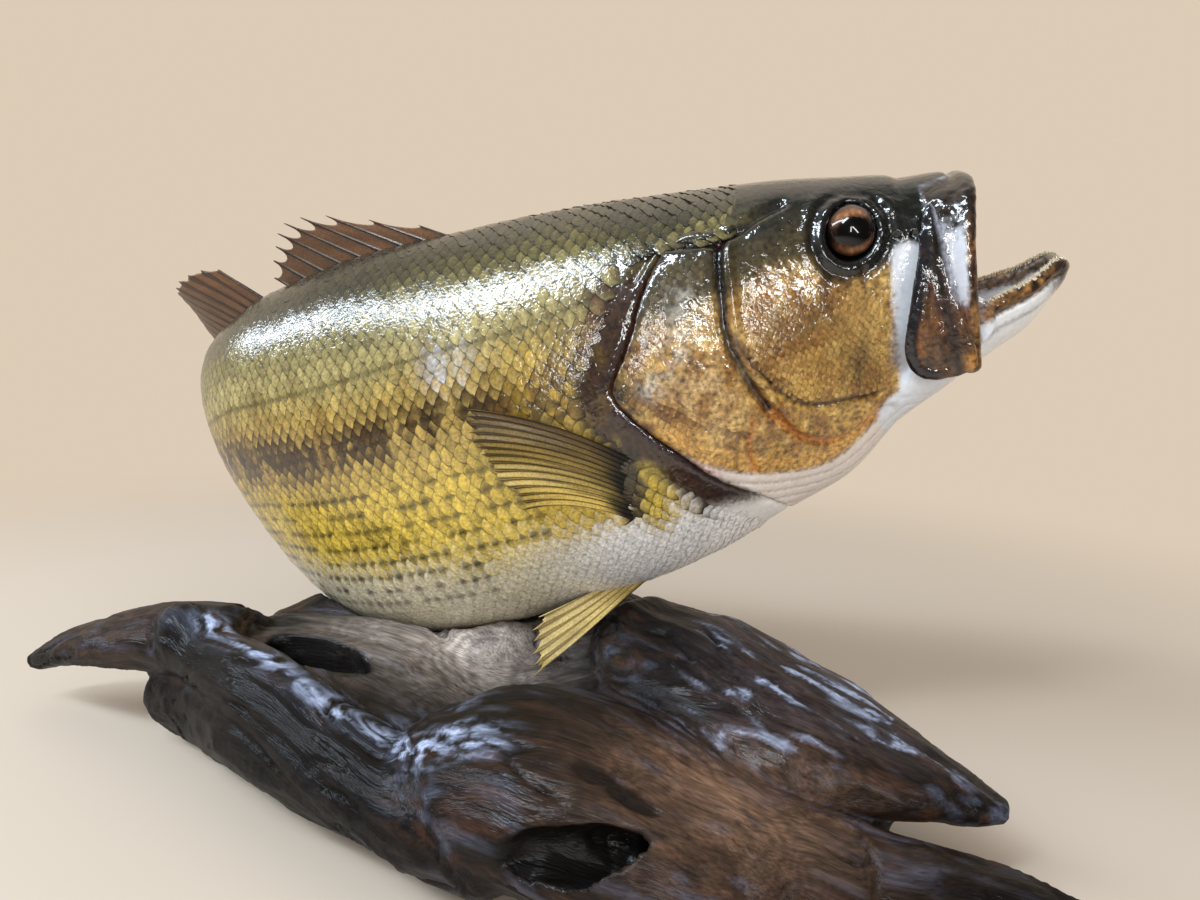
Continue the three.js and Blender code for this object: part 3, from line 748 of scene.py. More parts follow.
@dataclass(frozen=True)
class HeadPlan:
    """Where the head's plates, folds and openings run, in (back, rise)."""

    cover: Outline = Outline((
        (-60, 95), (84, 95), (86, 62), (95, 51), (106, 54.5), (118, 47), (127, 33), (133.5, 19),
        (140, 9), (143, 3), (134, -12), (122, -27), (112, -41), (101, -51), (91, -64), (86, -78),
        (84, -110), (-60, -110)), 1)
    face: Outline = Outline((
        (10.2, 70), (10.2, 43), (13.8, 34), (15.3, 20), (17, 0), (18, -19), (20, -60), (-60, -60),
        (-60, 70)), 1)
    pocket: float = 11.0
    cover_thick: float = 2.0
    ring: float = 8.9
    deep_groove: Stroke = Stroke((
        (94, 49), (96, 40), (96.5, 29), (98, 15), (95, 3), (91, -9), (88, -16)), 1.5)
    fold_upper: Stroke = Stroke((
        (96, 14), (89, 0), (81, -13), (72, -20), (58, -21), (48, -22)), 1.3)
    fold_lower: Stroke = Stroke((
        (92, -8), (86, -20), (80, -30), (72, -36.5), (62, -38), (52, -33), (44, -30)), 1.6)
    seam: Stroke = Stroke(((95, -20), (99, -30), (98, -40)), 1.3)
    flap_line: Stroke = Stroke(((140, 3), (124, -6), (109, -18), (97, -25)), 1.2)
    cheek_line: Stroke = Stroke(((46, 25), (48.5, 10), (51, -3), (55, -14)), 1.3)
    temple: Stroke = Stroke(((112, 50), (104, 49), (94, 47), (86, 49.5), (78, 53), (70, 54)), 1.4)
    shoulder: Stroke = Stroke(((128, 41), (118, 51), (106, 58), (96, 56)), 1.5)
    cover_ridge: Stroke = Stroke(((110, 30), (113, 20), (117, 12), (127, 4)), 6.0)
    cheek: Outline = Outline((
        (40, 24), (62, 22), (90, 32), (93, 14), (87, -4), (78, -17), (58, -20), (42, -22),
        (37, -10)))
    membrane: Outline = Outline((
        (132, -15), (118, -29), (110, -35), (99, -42), (84, -47), (71, -48.5), (62, -44.5),
        (55, -39), (47, -33), (36, -24), (10, -40), (60, -125), (165, -110)))
    nostrils: tuple[Place, ...] = ((33.5, 33.5, 1.5), (27.0, 33.0, 1.1))


HEAD = HeadPlan()
MOUTH = Mouth()


# ---- painting -------------------------------------------------------------------------------
def tint(red: float, green: float, blue: float) -> Array:
    """A linear colour from the usual 0 to 255 values."""
    c = np.array([red, green, blue], float) / 255
    return np.where(c <= 0.04045, c / 12.92, ((c + 0.055) / 1.055) ** 2.4)


def lay(under: Array, colour: Array, mask: Array) -> Array:
    """Sprays one colour over another where the mask is 1."""
    mask = np.clip(mask, 0, 1)[..., None]
    return under * (1 - mask) + colour * mask


class Spray:
    """The colours of a set of points; a call sprays one more colour over them."""

    def __init__(self, base: Colour, shape: tuple[int, ...]) -> None:
        """Starts from one even colour."""
        self.colours = np.broadcast_to(tint(*base), shape).copy()

    def __call__(self, colour: Colour, mask: Array) -> None:
        """Sprays a colour where the mask is 1."""
        self.colours = lay(self.colours, tint(*colour), mask)


@dataclass(frozen=True)
class Airbrush:
    """The fish's markings, with some painted highlights and painted shade, the same for the bare
    skin and for the scales over it.
    """

    stripe_rise: Track = Track((
        (146, 8), (200, 6), (220, 6), (254, 5), (304, 7), (360, 4), (400, 2), (470, 0)))
    ridge: Colour = (30, 27, 16)
    olive: Colour = (70, 63, 32)
    gold: Colour = (166, 142, 76)
    yellow: Colour = (204, 174, 66)
    cream: Colour = (206, 196, 168)
    white: Colour = (226, 224, 222)
    dark: Colour = (44, 26, 8)
    brown: Colour = (138, 98, 46)
    rust: Colour = (168, 96, 34)
    black: Colour = (16, 16, 16)

    def trunk(self, back: Array, side: Array, rise: Array) -> Spray:
        """Colours of the trunk, from the dark back over the gold flank to the pale belly.

        Args:
            back, side, rise: The points' coordinates, in millimetres.

        Returns:
            The colours.
        """
        spot = spots(back, side, rise)
        wander = layered(spot, 34, 21, 2)
        over = rise - BODY.lateral(back) + 5 * wander + 13 * ease(165, 115, back)
        tail = ease(330, 420, back)
        spray = Spray(self.gold, spot.shape)
        spray((148, 136, 88), ease(-14, 2, over))
        spray(self.olive, ease(2, 24, over))
        spray(self.ridge, ease(14, 36, over + 9 * ease(150, 105, back)))
        low = rise - self.stripe_rise(back)
        spray(self.yellow, ease(-6, -26, low + 6 * wander) * 0.85)
        spray((222, 198, 122), 0.55 * ease(-30, -52, rise + 6 * wander) * ease(270, 220, back))
        floor = -57 + 6 * ease(200, 260, back) + 20 * tail
        pale = ease(floor + 12, floor - 12, rise + 6 * wander)
        spray(self.cream, pale)
        breast = ease(205, 150, back) * ease(-40, -60, rise + 6 * wander)
        spray(self.white, breast)
        blotch = (0.55 * noise(spot * (1, 0.3, 1), 15, 31)
                  + 1.1 * noise(spot * (1, 0.3, 0.34), 3.2, 32) + 0.13)
        bruise = bell(low, 0, 20) * ease(150, 178, back)
        spray((116, 82, 30), (0.3 + 0.25 * ease(225, 265, back)) * bruise)
        band = bell(low, 0, 10.5 + 4 * wander, 4) * ease(150, 178, back)
        start = -0.12 - 0.22 * ease(232, 262, back)
        spray(self.dark, band * ease(start, start + 0.37, blotch) * 0.96)
        smudge = layered(spot * (1, 0.3, 0.4), 4.5, 41, 2)
        spray((96, 68, 26), 0.5 * ease(14, 0, over) * ease(0.1, 0.6, smudge) * (1 - pale)
              * ease(150, 200, back))
        spray((120, 104, 84), 0.5 * ease(0.3, 0.7, smudge) * pale * ease(200, 260, back))
        sheen = bell(back, 197, 9) * bell(rise, 27, 6.5)
        spray((190, 194, 206), sheen * ease(-0.5, 0.5, smudge))
        behind = bell(back, 166, 20, 4) * bell(rise, 8, 16, 4)
        spray((112, 78, 30), 0.7 * behind * ease(0.25, -0.4, layered(spot, 6.5, 28, 2)))
        collar = bell(back, 148, 15, 4) * bell(rise, 20, 19, 4)
        spray((98, 74, 40), 0.6 * collar * ease(0.4, -0.4, layered(spot, 7.5, 29, 2)))
        return spray

    def fin_bases(self, spray: Spray, back: Array, rise: Array) -> None:
        """The black base of the side fin, the yellow ahead of it and the shoulder's band.

        Args:
            spray: The colours so far.
            back: Distances behind the snout.
            rise: Heights over the spine line.
        """
        edge = HEAD.cover.distance(back, rise)
        near = ease(60, 48, np.abs(rise)) * ease(200, 180, back)
        spot = spots(back, rise, 0 * back)
        reach = 3 * bell(rise, 14, 26)
        band = ease(20.0 + reach, 10.0 + reach, edge + 7 * layered(spot, 6, 27, 2))
        band = band * ease(50, 40, rise) * ease(-74, -52, rise)
        spray((50, 32, 18), band * near)
        spray((46, 31, 33), bell(edge, 2.0, 2.2) * near * ease(30, 0, rise))
        patch = Outline(((133, -28), (139, -26), (142, -32), (145, -48), (139, -58), (131, -50)))
        spray((178, 152, 50), ease(4, -4, patch.distance(back, rise)) * 0.9)
        base = Outline(((138, -18), (147, -20), (152, -34), (150, -46), (145, -48), (140, -36)))
        spray((186, 152, 50), 0.8 * ease(0.05, 0.5, layered(spot, 6.5, 28, 2)) * bell(back, 163, 14)
              * bell(rise, 10, 13))
        spray(self.black, ease(3, -2, base.distance(back, rise)) * 0.95)

    def head(self, back: Array, side: Array, rise: Array) -> Spray:
        """Colours of the head's outer skin.

        Args:
            back, side, rise: The points' coordinates, in millimetres.

        Returns:
            The colours.
        """
        spot = spots(back, side, rise)
        plan, mottle = HEAD, layered(spot, 5.5, 51, 3)
        lumps = layered(spot, 16, 61, 2)
        flank = ease(9, 16, np.abs(side))
        spray = Spray(self.brown, spot.shape)
        spray((172, 140, 78), 0.75 * ease(0.0, 0.55, mottle + 0.2))
        spray((86, 56, 30), 0.8 * ease(0.1, 0.6, -mottle + 0.35 * lumps))
        lower = ease(8, -18, rise + 5 * lumps)
        spray((186, 148, 68), 0.55 * lower * ease(-0.5, 0.4, mottle))
        fleck = layered(spot * (1, 1, 0.8), 2.7, 54, 2)
        spray((62, 38, 20), 0.8 * ease(0.12, 0.5, fleck) * ease(-0.5, 0.3, lumps))
        spray((212, 178, 112), 0.55 * ease(0.15, 0.6, -fleck))
        vein = bell(layered(spot, 11, 55, 2), 0, 0.05)
        spray((96, 50, 20), 0.6 * vein * (0.4 + 0.6 * lower))
        top = ease(24, 37, rise + 5 * lumps + 0.05 * (back - 60) + 4 * ease(95, 115, back))
        spray((48, 42, 22), top * 0.95)
        spray((24, 24, 15), ease(40, 52, rise + 5 * lumps))
        snout = ease(70, 46, back) * ease(20, 30, rise + 3 * lumps)
        spray((16, 18, 13), snout)
        ring = np.hypot(back - POSE.eye_back, (rise - POSE.eye_rise) / 1.06)
        spray((12, 13, 11), flank * ease(18.5, 13.0, ring + 1.5 * mottle))
        # Painted highlight: a pale silvery sheen along the gill cover's ridge and just inside its
        # edge.
        painted_cover_sheen = (plan.cover_ridge.mask(back, rise) + 0.1
                  * ease(-16, -5, plan.cover.distance(back, rise)) * ease(-4, 14, rise)
                  * ease(46, 34, rise))
        spray((184, 180, 168), np.clip(painted_cover_sheen, 0, 1) * ease(-0.4, 0.3, fleck) * flank * 0.6)
        under = plan.membrane.distance(back, rise)
        pale = ease(1.5, -1.5, under)
        spray(self.rust, 0.9 * plan.fold_lower.mask(back, rise) * flank)
        spray((206, 156, 76), 0.7 * bell(under, 4, 4.0) * ease(40, 60, back) * flank)
        spray((222, 212, 204), pale)
        bands = np.abs(((-under / 4.6) % 1.0) - 0.5) * 2
        spray((168, 146, 140), 0.6 * pale * ease(0.72, 1.0, bands))
        corner = ease(104, 122, back) * pale
        spray((196, 150, 60), 0.6 * corner * ease(0.2, 0.7, np.abs(mottle) * 2))
        spray((176, 60, 44), 0.7 * corner * bell(under, -2, 1.4))
        # The grooves and folds are painted dark along their lines, as painted shade in the creases;
        # the seam's rust is its own colour.
        for line, colour, strength in ((plan.deep_groove, self.black, 1.0),
                                       (plan.temple, self.black, 1.0),
                                       (plan.shoulder, self.black, 0.95),
                                       (plan.seam, self.rust, 0.8),
                                       (plan.fold_upper, (60, 34, 16), 0.9),
                                       (plan.flap_line, (92, 54, 24), 0.7),
                                       (plan.cheek_line, (52, 34, 22), 0.7)):
            spray(colour, strength * line.mask(back, rise) * flank)
        # More painted shade deep in the preopercle groove.
        spray(self.black, 0.9 * flank * bell(plan.deep_groove.mask(back - 0.5, rise), 1, 0.5))
        spray((196, 158, 92), 0.5 * flank * bell(back, 50, 9) * bell(rise, 4, 14, 4))
        spray((214, 184, 140), 0.5 * flank * bell(back, 108, 13) * bell(rise, -4, 18)
              * ease(-0.4, 0.4, mottle))
        dusk = bell(back, 72, 15) * bell(rise, 13, 8)
        spray((78, 50, 26), 0.7 * dusk * ease(-0.5, 0.2, mottle) * flank)
        patch = bell(back, 54, 6.5) * bell(rise, -5, 8)
        spray((40, 32, 28), 0.75 * patch * ease(-0.5, 0.3, mottle) * flank)
        flap = bell(back, 139, 5) * bell(rise, 4, 6)
        spray(self.black, 0.95 * flap * flank)
        rim = bell(plan.cover.distance(back, rise), -0.5, 1.5) * ease(52, 40, rise)
        spray((40, 28, 22), 0.7 * rim * flank * ease(-70, -40, rise))
        return spray

    def jaws(self, spray: Spray, back: Array, side: Array, rise: Array) -> None:
        """The white skin behind the plates, the plates, the lips and the jaw.

        Args:
            spray: The colours so far.
            back, side, rise: The points' coordinates, in millimetres.
        """
        spot = spots(back, side, rise)
        front = Outline(((37.5, 30), (38, -24), (44, -26), (50, -33), (44, -52), (-40, -52),
                         (-40, 16), (20, 24), (28, 32)))
        spray((206, 210, 216), ease(1.2, -1.2, front.distance(back, rise)))
        web = bell(MOUTH.plate.distance(back, rise), 2.5, 1.6) * ease(-20, -10, rise)
        spray((150, 156, 170), 0.5 * web * ease(32, 24, rise))
        rim = MOUTH.jaw_rim(back) - rise
        on_jaw = (ease(2.5, 1.0, np.abs(MOUTH.jaw_wall_field(back, side, rise, False)))
                  * ease(30, 12, back))
        spray((222, 224, 226), on_jaw)
        line = bell(rim, 11.5, 0.8) * ease(-24, -10, back)
        spray((110, 110, 116), 0.6 * on_jaw * line)
        lip = ease(6.8, 5.6, rim) * ease(-2.6, -1.0, rim) * ease(20, 8, back)
        spray((138, 98, 52), lip)
        speck = layered(spot, 2.6, 72, 2)
        spray((38, 25, 18), lip * np.clip(0.45 + 1.6 * speck + 0.8 * ease(-12, -26, back), 0, 1))
        corner = (ease(2.0, 6.0, back) * ease(26, 18, back) * ease(16, 12, rim)
                  * ease(-2.6, -1.0, rim))
        spray((132, 138, 152), 0.85 * corner * on_jaw)
        spray((110, 68, 30), on_jaw * corner * bell(rim - 2 - 0.5 * (back - 4), 0, 1.0))
        spray((40, 29, 22), ease(-16, -25, back) * ease(-6, 2, rise) * 0.9)
        on_lip = ease(1.6, 0.8, np.abs(MOUTH.lip(back, side, rise))) * ease(20, 17, back)
        ahead = back - MOUTH.lip_back(rise)
        wall = line_distance(MOUTH.arch(), np.broadcast_to(np.abs(side), rise.shape), rise)
        strip = ease(3.2, 2.4, wall) * ease(22, 20.5, back) * ease(0.5, 2.0, ahead)
        on_lip = np.maximum(on_lip, strip)
        low_front = ease(9, 3, rise) * on_lip
        spray((190, 194, 204), on_lip)
        spray((96, 54, 28), low_front)
        spray((150, 102, 46), low_front * ease(-9, -14, rise))
        edge = on_lip * ease(4.4, 3.2, ahead)
        spray((130, 92, 50), edge)
        spray((50, 33, 24), edge * np.clip(0.4 + 1.6 * speck, 0, 1))
        spray((34, 25, 19), on_lip * ease(27, 37, rise + 4 * speck))
        on_plate = ease(1.4, 0.8, np.abs(MOUTH.plates(back, side, rise)))
        rear = MOUTH.plate.distance(back, rise)
        spray((80, 52, 30), on_plate)
        spray((116, 72, 34), 0.7 * on_plate * ease(0.0, 0.5,
                                                   layered(spot * (1.4, 1, 0.2), 4.0, 73, 2)))
        high = ease(8, 24, rise)
        spray((26, 23, 24), on_plate * high * 0.95)
        behind = on_plate * ease(-5.0, -3.6, rear) * ease(22, 27, back + 0.12 * (rise + 10))
        spray((12, 13, 22), behind)
        stripe = bell(back, 20.2 + 0.06 * rise, 2.2)
        spray((22, 16, 15), on_plate * stripe * 0.9)
        foot = on_plate * ease(18.5, 15.0, back) * ease(-8, -14, rise)
        spray((158, 108, 48), foot)
        spray((40, 25, 19), on_plate * np.clip(speck * 1.8, 0, 0.75))
        spray((160, 164, 178), on_plate * ease(1.5, -0.5, back - 17.2 - 0.05 * rise)
              * ease(4, 16, rise) * 0.8)

    def lining(self, spray: Spray, back: Array, side: Array, rise: Array) -> None:
        """The pale lining of the mouth and the dark hollow under the gill cover.

        Args:
            spray: The colours so far.
            back, side, rise: The points' coordinates, in millimetres.
        """
        spot = spots(back, side, rise)
        inner = ease(1.6, 0.9, MOUTH.cavity(back, side, rise)) * ease(12, 20, back)
        deep = ease(20, 70, back)
        spray((214, 206, 204), inner)
        spray((150, 96, 92), inner * deep)
        trough = ease(1.8, 1.0, np.abs(MOUTH.jaw_wall_field(back, side, rise, True)))
        trough = trough * ease(-0.8, -2.4, rise - MOUTH.jaw_rim(back)) * ease(50, 44, back)
        spray((222, 220, 222), trough)
        below = MOUTH.jaw_rim(back) - rise + 2.0 * layered(spot, 3.2, 74, 2)
        gum = trough * ease(6.5, 4.0, below)
        spray((104, 82, 60), gum)
        spray((44, 33, 26), 0.8 * gum * ease(-0.1, 0.4, noise(spot, 1.8, 75)))
        depth = BODY.distance(back, side, rise, BODY.cover_lift(back))
        hidden = ease(-3.6, -4.6, depth) * ease(78, 90, back) * ease(152, 148, back)
        hidden = hidden * ease(2, -2, HEAD.cover.distance(back, rise))
        spray((70, 30, 28), hidden)

    def skin(self, back: Array, side: Array, rise: Array) -> Array:
        """Colours for points of the skin.

        Args:
            back, side, rise: The points' coordinates, in millimetres.

        Returns:
            The colours.
        """
        spray = self.trunk(back, side, rise)
        self.fin_bases(spray, back, rise)
        head = self.head(back, side, rise)
        self.jaws(head, back, side, rise)
        ahead = ease(0.6, -0.6, HEAD.cover.distance(back, rise)) * ease(160, 150, back)
        nape = ease(74, 84, back) * ease(49, 53, rise)
        spray.colours = lay(spray.colours, head.colours, ahead * (1 - nape))
        self.lining(spray, back, side, rise)
        return spray.colours

    def scale(self, back: Array, side: Array, rise: Array, on_head: bool) -> Array:
        """Colours for scales at the given points.

        Args:
            back, side, rise: The points' coordinates, in millimetres.
            on_head: True for the head's scales.

        Returns:
            The colours.
        """
        if on_head:
            return self.head(back, side, rise).colours
        spray = self.trunk(back, side, rise)
        self.fin_bases(spray, back, rise)
        return spray.colours

    def speckle(self, colours: Array, rise: Array) -> Array:
        """How strongly fine speckles show in each colour: on brown skin, hardly on white."""
        white = ease(0.30, 0.52, colours.min(1))
        return (1 - 0.9 * white) * ease(-90, -60, rise)


AIRBRUSH = Airbrush()


class Wiring:
    """Adds nodes to a tree; an input takes a value, or the output that is linked to it."""

    def __init__(self, tree: bpy.types.NodeTree) -> None:
        """Works on `tree`."""
        self.tree = tree

    def fill(self, node: bpy.types.Node, inputs: dict[str | int, Any]) -> None:
        """Sets or links a node's inputs, by name or number.

        Args:
            node: The node.
            inputs: What its inputs take.
        """
        for key, value in inputs.items():
            if isinstance(value, Socket):
                self.tree.links.new(value, node.inputs[key])
            else:
                node.inputs[key].default_value = value

    def add(self, kind: str, inputs: dict[str | int, Any] | None = None,
            **settings: Any) -> bpy.types.Node:
        """Adds a node.

        Args:
            kind: The node's type.
            inputs: What its inputs take.
            settings: Its own properties, which are set first.

        Returns:
            The node.
        """
        node = self.tree.nodes.new(kind)
        for name, value in settings.items():
            setattr(node, name, value)
        self.fill(node, inputs or {})
        return node

    def out(self, kind: str, output: str | int, inputs: dict[str | int, Any] | None = None,
            **settings: Any) -> Socket:
        """Adds a node as `add` does and returns one of its outputs."""
        return self.add(kind, inputs, **settings).outputs[output]


@dataclass(frozen=True)
class Finish:
    """A painted, varnished surface that takes its colour from the points.

    Specks tint and dimple the paint. They follow the `follow` attribute, where one is named, and
    show as strongly as the `strength` attribute says. Curls ripple the varnish where it is wet.
    """

    name: str
    coat: float = 0.8
    rough: float = 0.45
    coat_rough: float = 0.07
    bump: float = 0.3
    bump_depth: float = 0.0006
    grain: float = 900.0
    detail: float = 3.0
    wet: float = 0.0
    wet_grain: float = 260.0
    wet_depth: float = 0.0015
    mottle: float = 0.25
    coat_index: float = 1.65
    base_shine: float = 0.2
    follow: str = ""
    strength: str = ""

    def material(self) -> Material:
        """Builds the material.

        Returns:
            The material.
        """
        made = bpy.data.materials.new(self.name)
        made.use_nodes = True
        nodes = Wiring(made.node_tree)
        place = nodes.out("ShaderNodeTexCoord", "Object")
        along, amount = place, 1.0
        if self.follow:
            along = nodes.out("ShaderNodeAttribute", "Vector", attribute_name=self.follow)
        if self.strength:
            amount = nodes.out("ShaderNodeAttribute", "Fac", attribute_name=self.strength)
        specks = nodes.out("ShaderNodeTexNoise", "Fac",
                           {"Vector": along, "Scale": self.grain, "Detail": self.detail})
        tone = nodes.out("ShaderNodeMapRange", "Result",
                         {"Value": specks, "From Min": 0.3, "From Max": 0.7,
                          "To Min": 1 - self.mottle, "To Max": 1 + self.mottle * 0.8})
        paint = nodes.out("ShaderNodeAttribute", "Color", attribute_name="paint")
        colour = nodes.out("ShaderNodeMix", "Result", {"Factor": amount, "A": paint, "B": tone},
                           data_type="RGBA", blend_type="MULTIPLY")
        dimples = nodes.out("ShaderNodeBump", "Normal",
                            {"Height": specks, "Strength": self.bump, "Distance": self.bump_depth})
        varnish = dimples
        if self.wet:
            curls = nodes.out("ShaderNodeTexNoise", "Fac",
                              {"Vector": place, "Scale": self.wet_grain, "Detail": 2.0,
                               "Distortion": 1.2})
            varnish = nodes.out("ShaderNodeBump", "Normal",
                                {"Height": curls, "Normal": dimples, "Strength": self.wet,
                                 "Distance": self.wet_depth})
        nodes.fill(made.node_tree.nodes["Principled BSDF"],
                   {"Base Color": colour, "Roughness": self.rough, "Coat Weight": self.coat,
                    "Coat Roughness": self.coat_rough, "Coat IOR": self.coat_index,
                    "Specular IOR Level": self.base_shine, "Normal": dimples,
                    "Coat Normal": varnish})
        return made


@dataclass
class Skin:
    """One closed skin over the head, the mouth and the trunk."""

    step: float = 0.95
    scale_depth: float = 1.0
    most_triangles: int = 188_000

    def lines(self) -> tuple[Array, Array, Array]:
        """Grid planes: fine over the head, wider apart towards the tail.

        Returns:
            The planes along each axis.
        """
        back, pace = [-33.0], self.step
        while back[-1] < 474.0:
            pace = self.step + 1.7 * float(ease(138, 200, back[-1]))
            back.append(back[-1] + pace)
        side = np.arange(0, 61.0, 1.0)
        return np.array(back), side, np.arange(-113.0, 80.0, 1.0)

    def field(self, back: Array, side: Array, rise: Array) -> Array:
        """Distance to the finished surface for side >= 0.

        Args:
            back, side, rise: The points' coordinates, in millimetres.

        Returns:
            The distances.
        """
        cover = HEAD.cover.distance(back, rise)
        low = ease(53, 46, rise)
        trunk = BODY.distance(back, side, rise) + self.scale_depth
        trunk = trunk + 6.5 * low * ease(3, -7, cover)
        trunk = soft_max(trunk, back - BODY.length + 0.6, 7.0)
        trunk = np.maximum(trunk, 70.0 - back)
        ahead = back[:, 0, 0] < 162
        near = back[ahead]
        head = BODY.distance(near, side, rise, BODY.cover_lift(near)) + 0.3
        edge = cover[ahead]
        thick = HEAD.cover_thick + 0.12 * np.clip(-edge, 0, 20)
        pocket = soft_max(-(edge + HEAD.pocket * ease(50, 40, rise)), head + thick, 1.0)
        pocket = np.where(rise < 49, pocket, 5.0)
        head = soft_max(head, edge + 0.3, 1.8)
        head = np.maximum(head, -pocket)
        head = soft_max(head, -HEAD.face.distance(near, rise), 2.0)
        head = soft_max(head, -MOUTH.cavity(near, side, rise), 1.5)
        jaw_room = np.maximum(MOUTH.jaw_wall_field(near, side, rise, False),
                              rise - MOUTH.jaw_rim(near))
        head = soft_max(head, -np.maximum(jaw_room, near - MOUTH.jaw_joint), 0.8)
        head = soft_min(head, MOUTH.webs(near, side, rise), 1.5)
        head = soft_min(head, MOUTH.jaw(near, side, rise), 1.2 + 4.0 * ease(18, 38, near))
        eye = np.sqrt((near - POSE.eye_back) ** 2 + (side - POSE.eye_side) ** 2
                      + (rise - POSE.eye_rise) ** 2) - 10.55
        hole = (np.sqrt((near - POSE.eye_back) ** 2 + ((rise - POSE.eye_rise) / 1.08) ** 2)
                - HEAD.ring)
        hole = soft_max(hole, POSE.eye_side - side, 1.0)
        head = soft_max(head, -np.minimum(eye, hole), 0.8)
        head = soft_min(head, MOUTH.lip(near, side, rise), 0.8)
        head = soft_min(head, MOUTH.plates(near, side, rise), 0.6)
        trunk[ahead] = soft_min(trunk[ahead], head, 0.5)
        return trunk

    def relief(self, back: Array, side: Array, rise: Array) -> Array:
        """How far each point of the head's skin moves outwards, in millimetres.

        Args:
            back, side, rise: The points' coordinates, in millimetres.

        Returns:
            The moves.
        """
        spot = spots(back, side, rise)
        flank = ease(14, 20, np.abs(side)) * ease(160, 146, back)
        lined = ease(2.0, 0.5, MOUTH.cavity(back, side, rise)) * ease(16, 22, back)
        out = np.zeros_like(back)
        plan = HEAD
        for line, depth in ((plan.deep_groove, 3.0), (plan.fold_upper, 0.9), (plan.fold_lower, 1.2),
                            (plan.seam, 0.8), (plan.flap_line, 0.6), (plan.cheek_line, 1.0),
                            (plan.temple, 2.0), (plan.shoulder, 1.6)):
            out -= depth * line.mask(back, rise) * flank
        out += 0.7 * plan.cover_ridge.mask(back, rise) * flank
        raised = Stroke(tuple((b - 3.4, r) for b, r in plan.deep_groove.points), 1.8)
        out += 0.9 * raised.mask(back, rise) * flank
        lip_fold = Stroke(tuple((b - 1.5, r + 2.2) for b, r in plan.fold_lower.points), 2.0)
        out += 0.6 * lip_fold.mask(back, rise) * flank
        ring = np.hypot(back - POSE.eye_back, (rise - POSE.eye_rise) / 1.06)
        out += (flank * (0.9 * bell(ring, 10.6, 1.5) - 0.7 * bell(ring, 14.0, 1.3)
                         + 0.4 * bell(ring, 16.4, 1.4)))
        for at_back, at_rise, size in plan.nostrils:
            far = np.hypot(back - at_back, rise - at_rise)
            out += flank * (0.7 * bell(far, size * 1.6, 0.7) - 2.2 * bell(far, 0, size))
        plates = MOUTH.plates(back, side, rise)
        on_plate = ease(1.2, 0.4, np.abs(plates)) * ease(17, 19, back) * ease(40, 37, back)
        rear = MOUTH.plate.distance(back, rise)
        out -= on_plate * 0.55 * bell(rear, -5.2, 0.8) * ease(21, 24, back)
        out += on_plate * 0.35 * noise(spot * (1, 1, 0.25), 2.2, 5)
        wet = flank * ease(26, 34, rise) * ease(70, 52, back) * ease(9.6, 11.5, ring)
        curls = 1 - np.abs(layered(spot, 4.6, 11, 2)) * 2.4
        out += wet * 0.55 * curls
        skin_only = flank * (1 - on_plate) * (1 - lined)
        out += skin_only * 0.22 * layered(spot, 5.0, 3, 2)
        folds = plan.membrane.distance(back, rise)
        inside = ease(0.5, -1.0, folds) * ease(2.0, -3.0, plan.cover.distance(back, rise))
        bands = np.abs(((-folds / 4.6) % 1.0) - 0.5) * 2
        out -= 0.55 * inside * flank * ease(0.55, 1.0, bands)
        rays = ease(-70, -55, rise) * lined
        out += 0.2 * rays * noise(spot, 3.0, 8)
        jaw_side = MOUTH.jaw_wall_field(back, side, rise, False)
        on_jaw = ease(2.0, 0.8, np.abs(jaw_side)) * ease(34, 20, back)
        below = MOUTH.jaw_rim(back) - rise
        out -= on_jaw * 0.9 * bell(below, 6.0, 0.9) * ease(-27, -20, back)
        out += on_jaw * 0.5 * bell(below, 3.0, 1.8)
        return out * ease(474, 150, back)

    def build(self) -> Thing:
        """Sculpts, paints and places the skin.

        Returns:
            The piece.
        """
        back, side, rise = self.lines()
        half = self.field(back[:, None, None], side[None, :, None], rise[None, None, :])
        whole = np.concatenate([half[:, :0:-1], half], axis=1)
        both = np.concatenate([-side[:0:-1], side])
        points, faces = surface_of(whole, (back, both, rise))
        normals = point_normals(points, faces)
        points += normals * self.relief(*points.T)[:, None]
        placed = POSE.place(*points.T)
        skin = new_object("skin", placed, faces)
        colours = AIRBRUSH.skin(*points.T)
        set_colour(skin.data, colours)
        set_value(skin.data, "speckle", AIRBRUSH.speckle(colours, points[:, 2]))
        decimated(skin, self.most_triangles)
        finish = Finish("skin", coat=1.0, coat_rough=0.04, bump=0.13, grain=560.0, wet=0.27,
                        wet_grain=210.0, mottle=0.68, strength="speckle")
        skin.data.materials.append(finish.material())
        stands_for(skin, "scaled_skin", "gill_cover_right", "gill_cover_left", "gill_membranes",
                   "maxilla_right", "maxilla_left", "head", "upper_lip", "lower_jaw", "trunk_front",
                   "trunk_middle", "trunk_rear", "tail_stalk")
        return skin


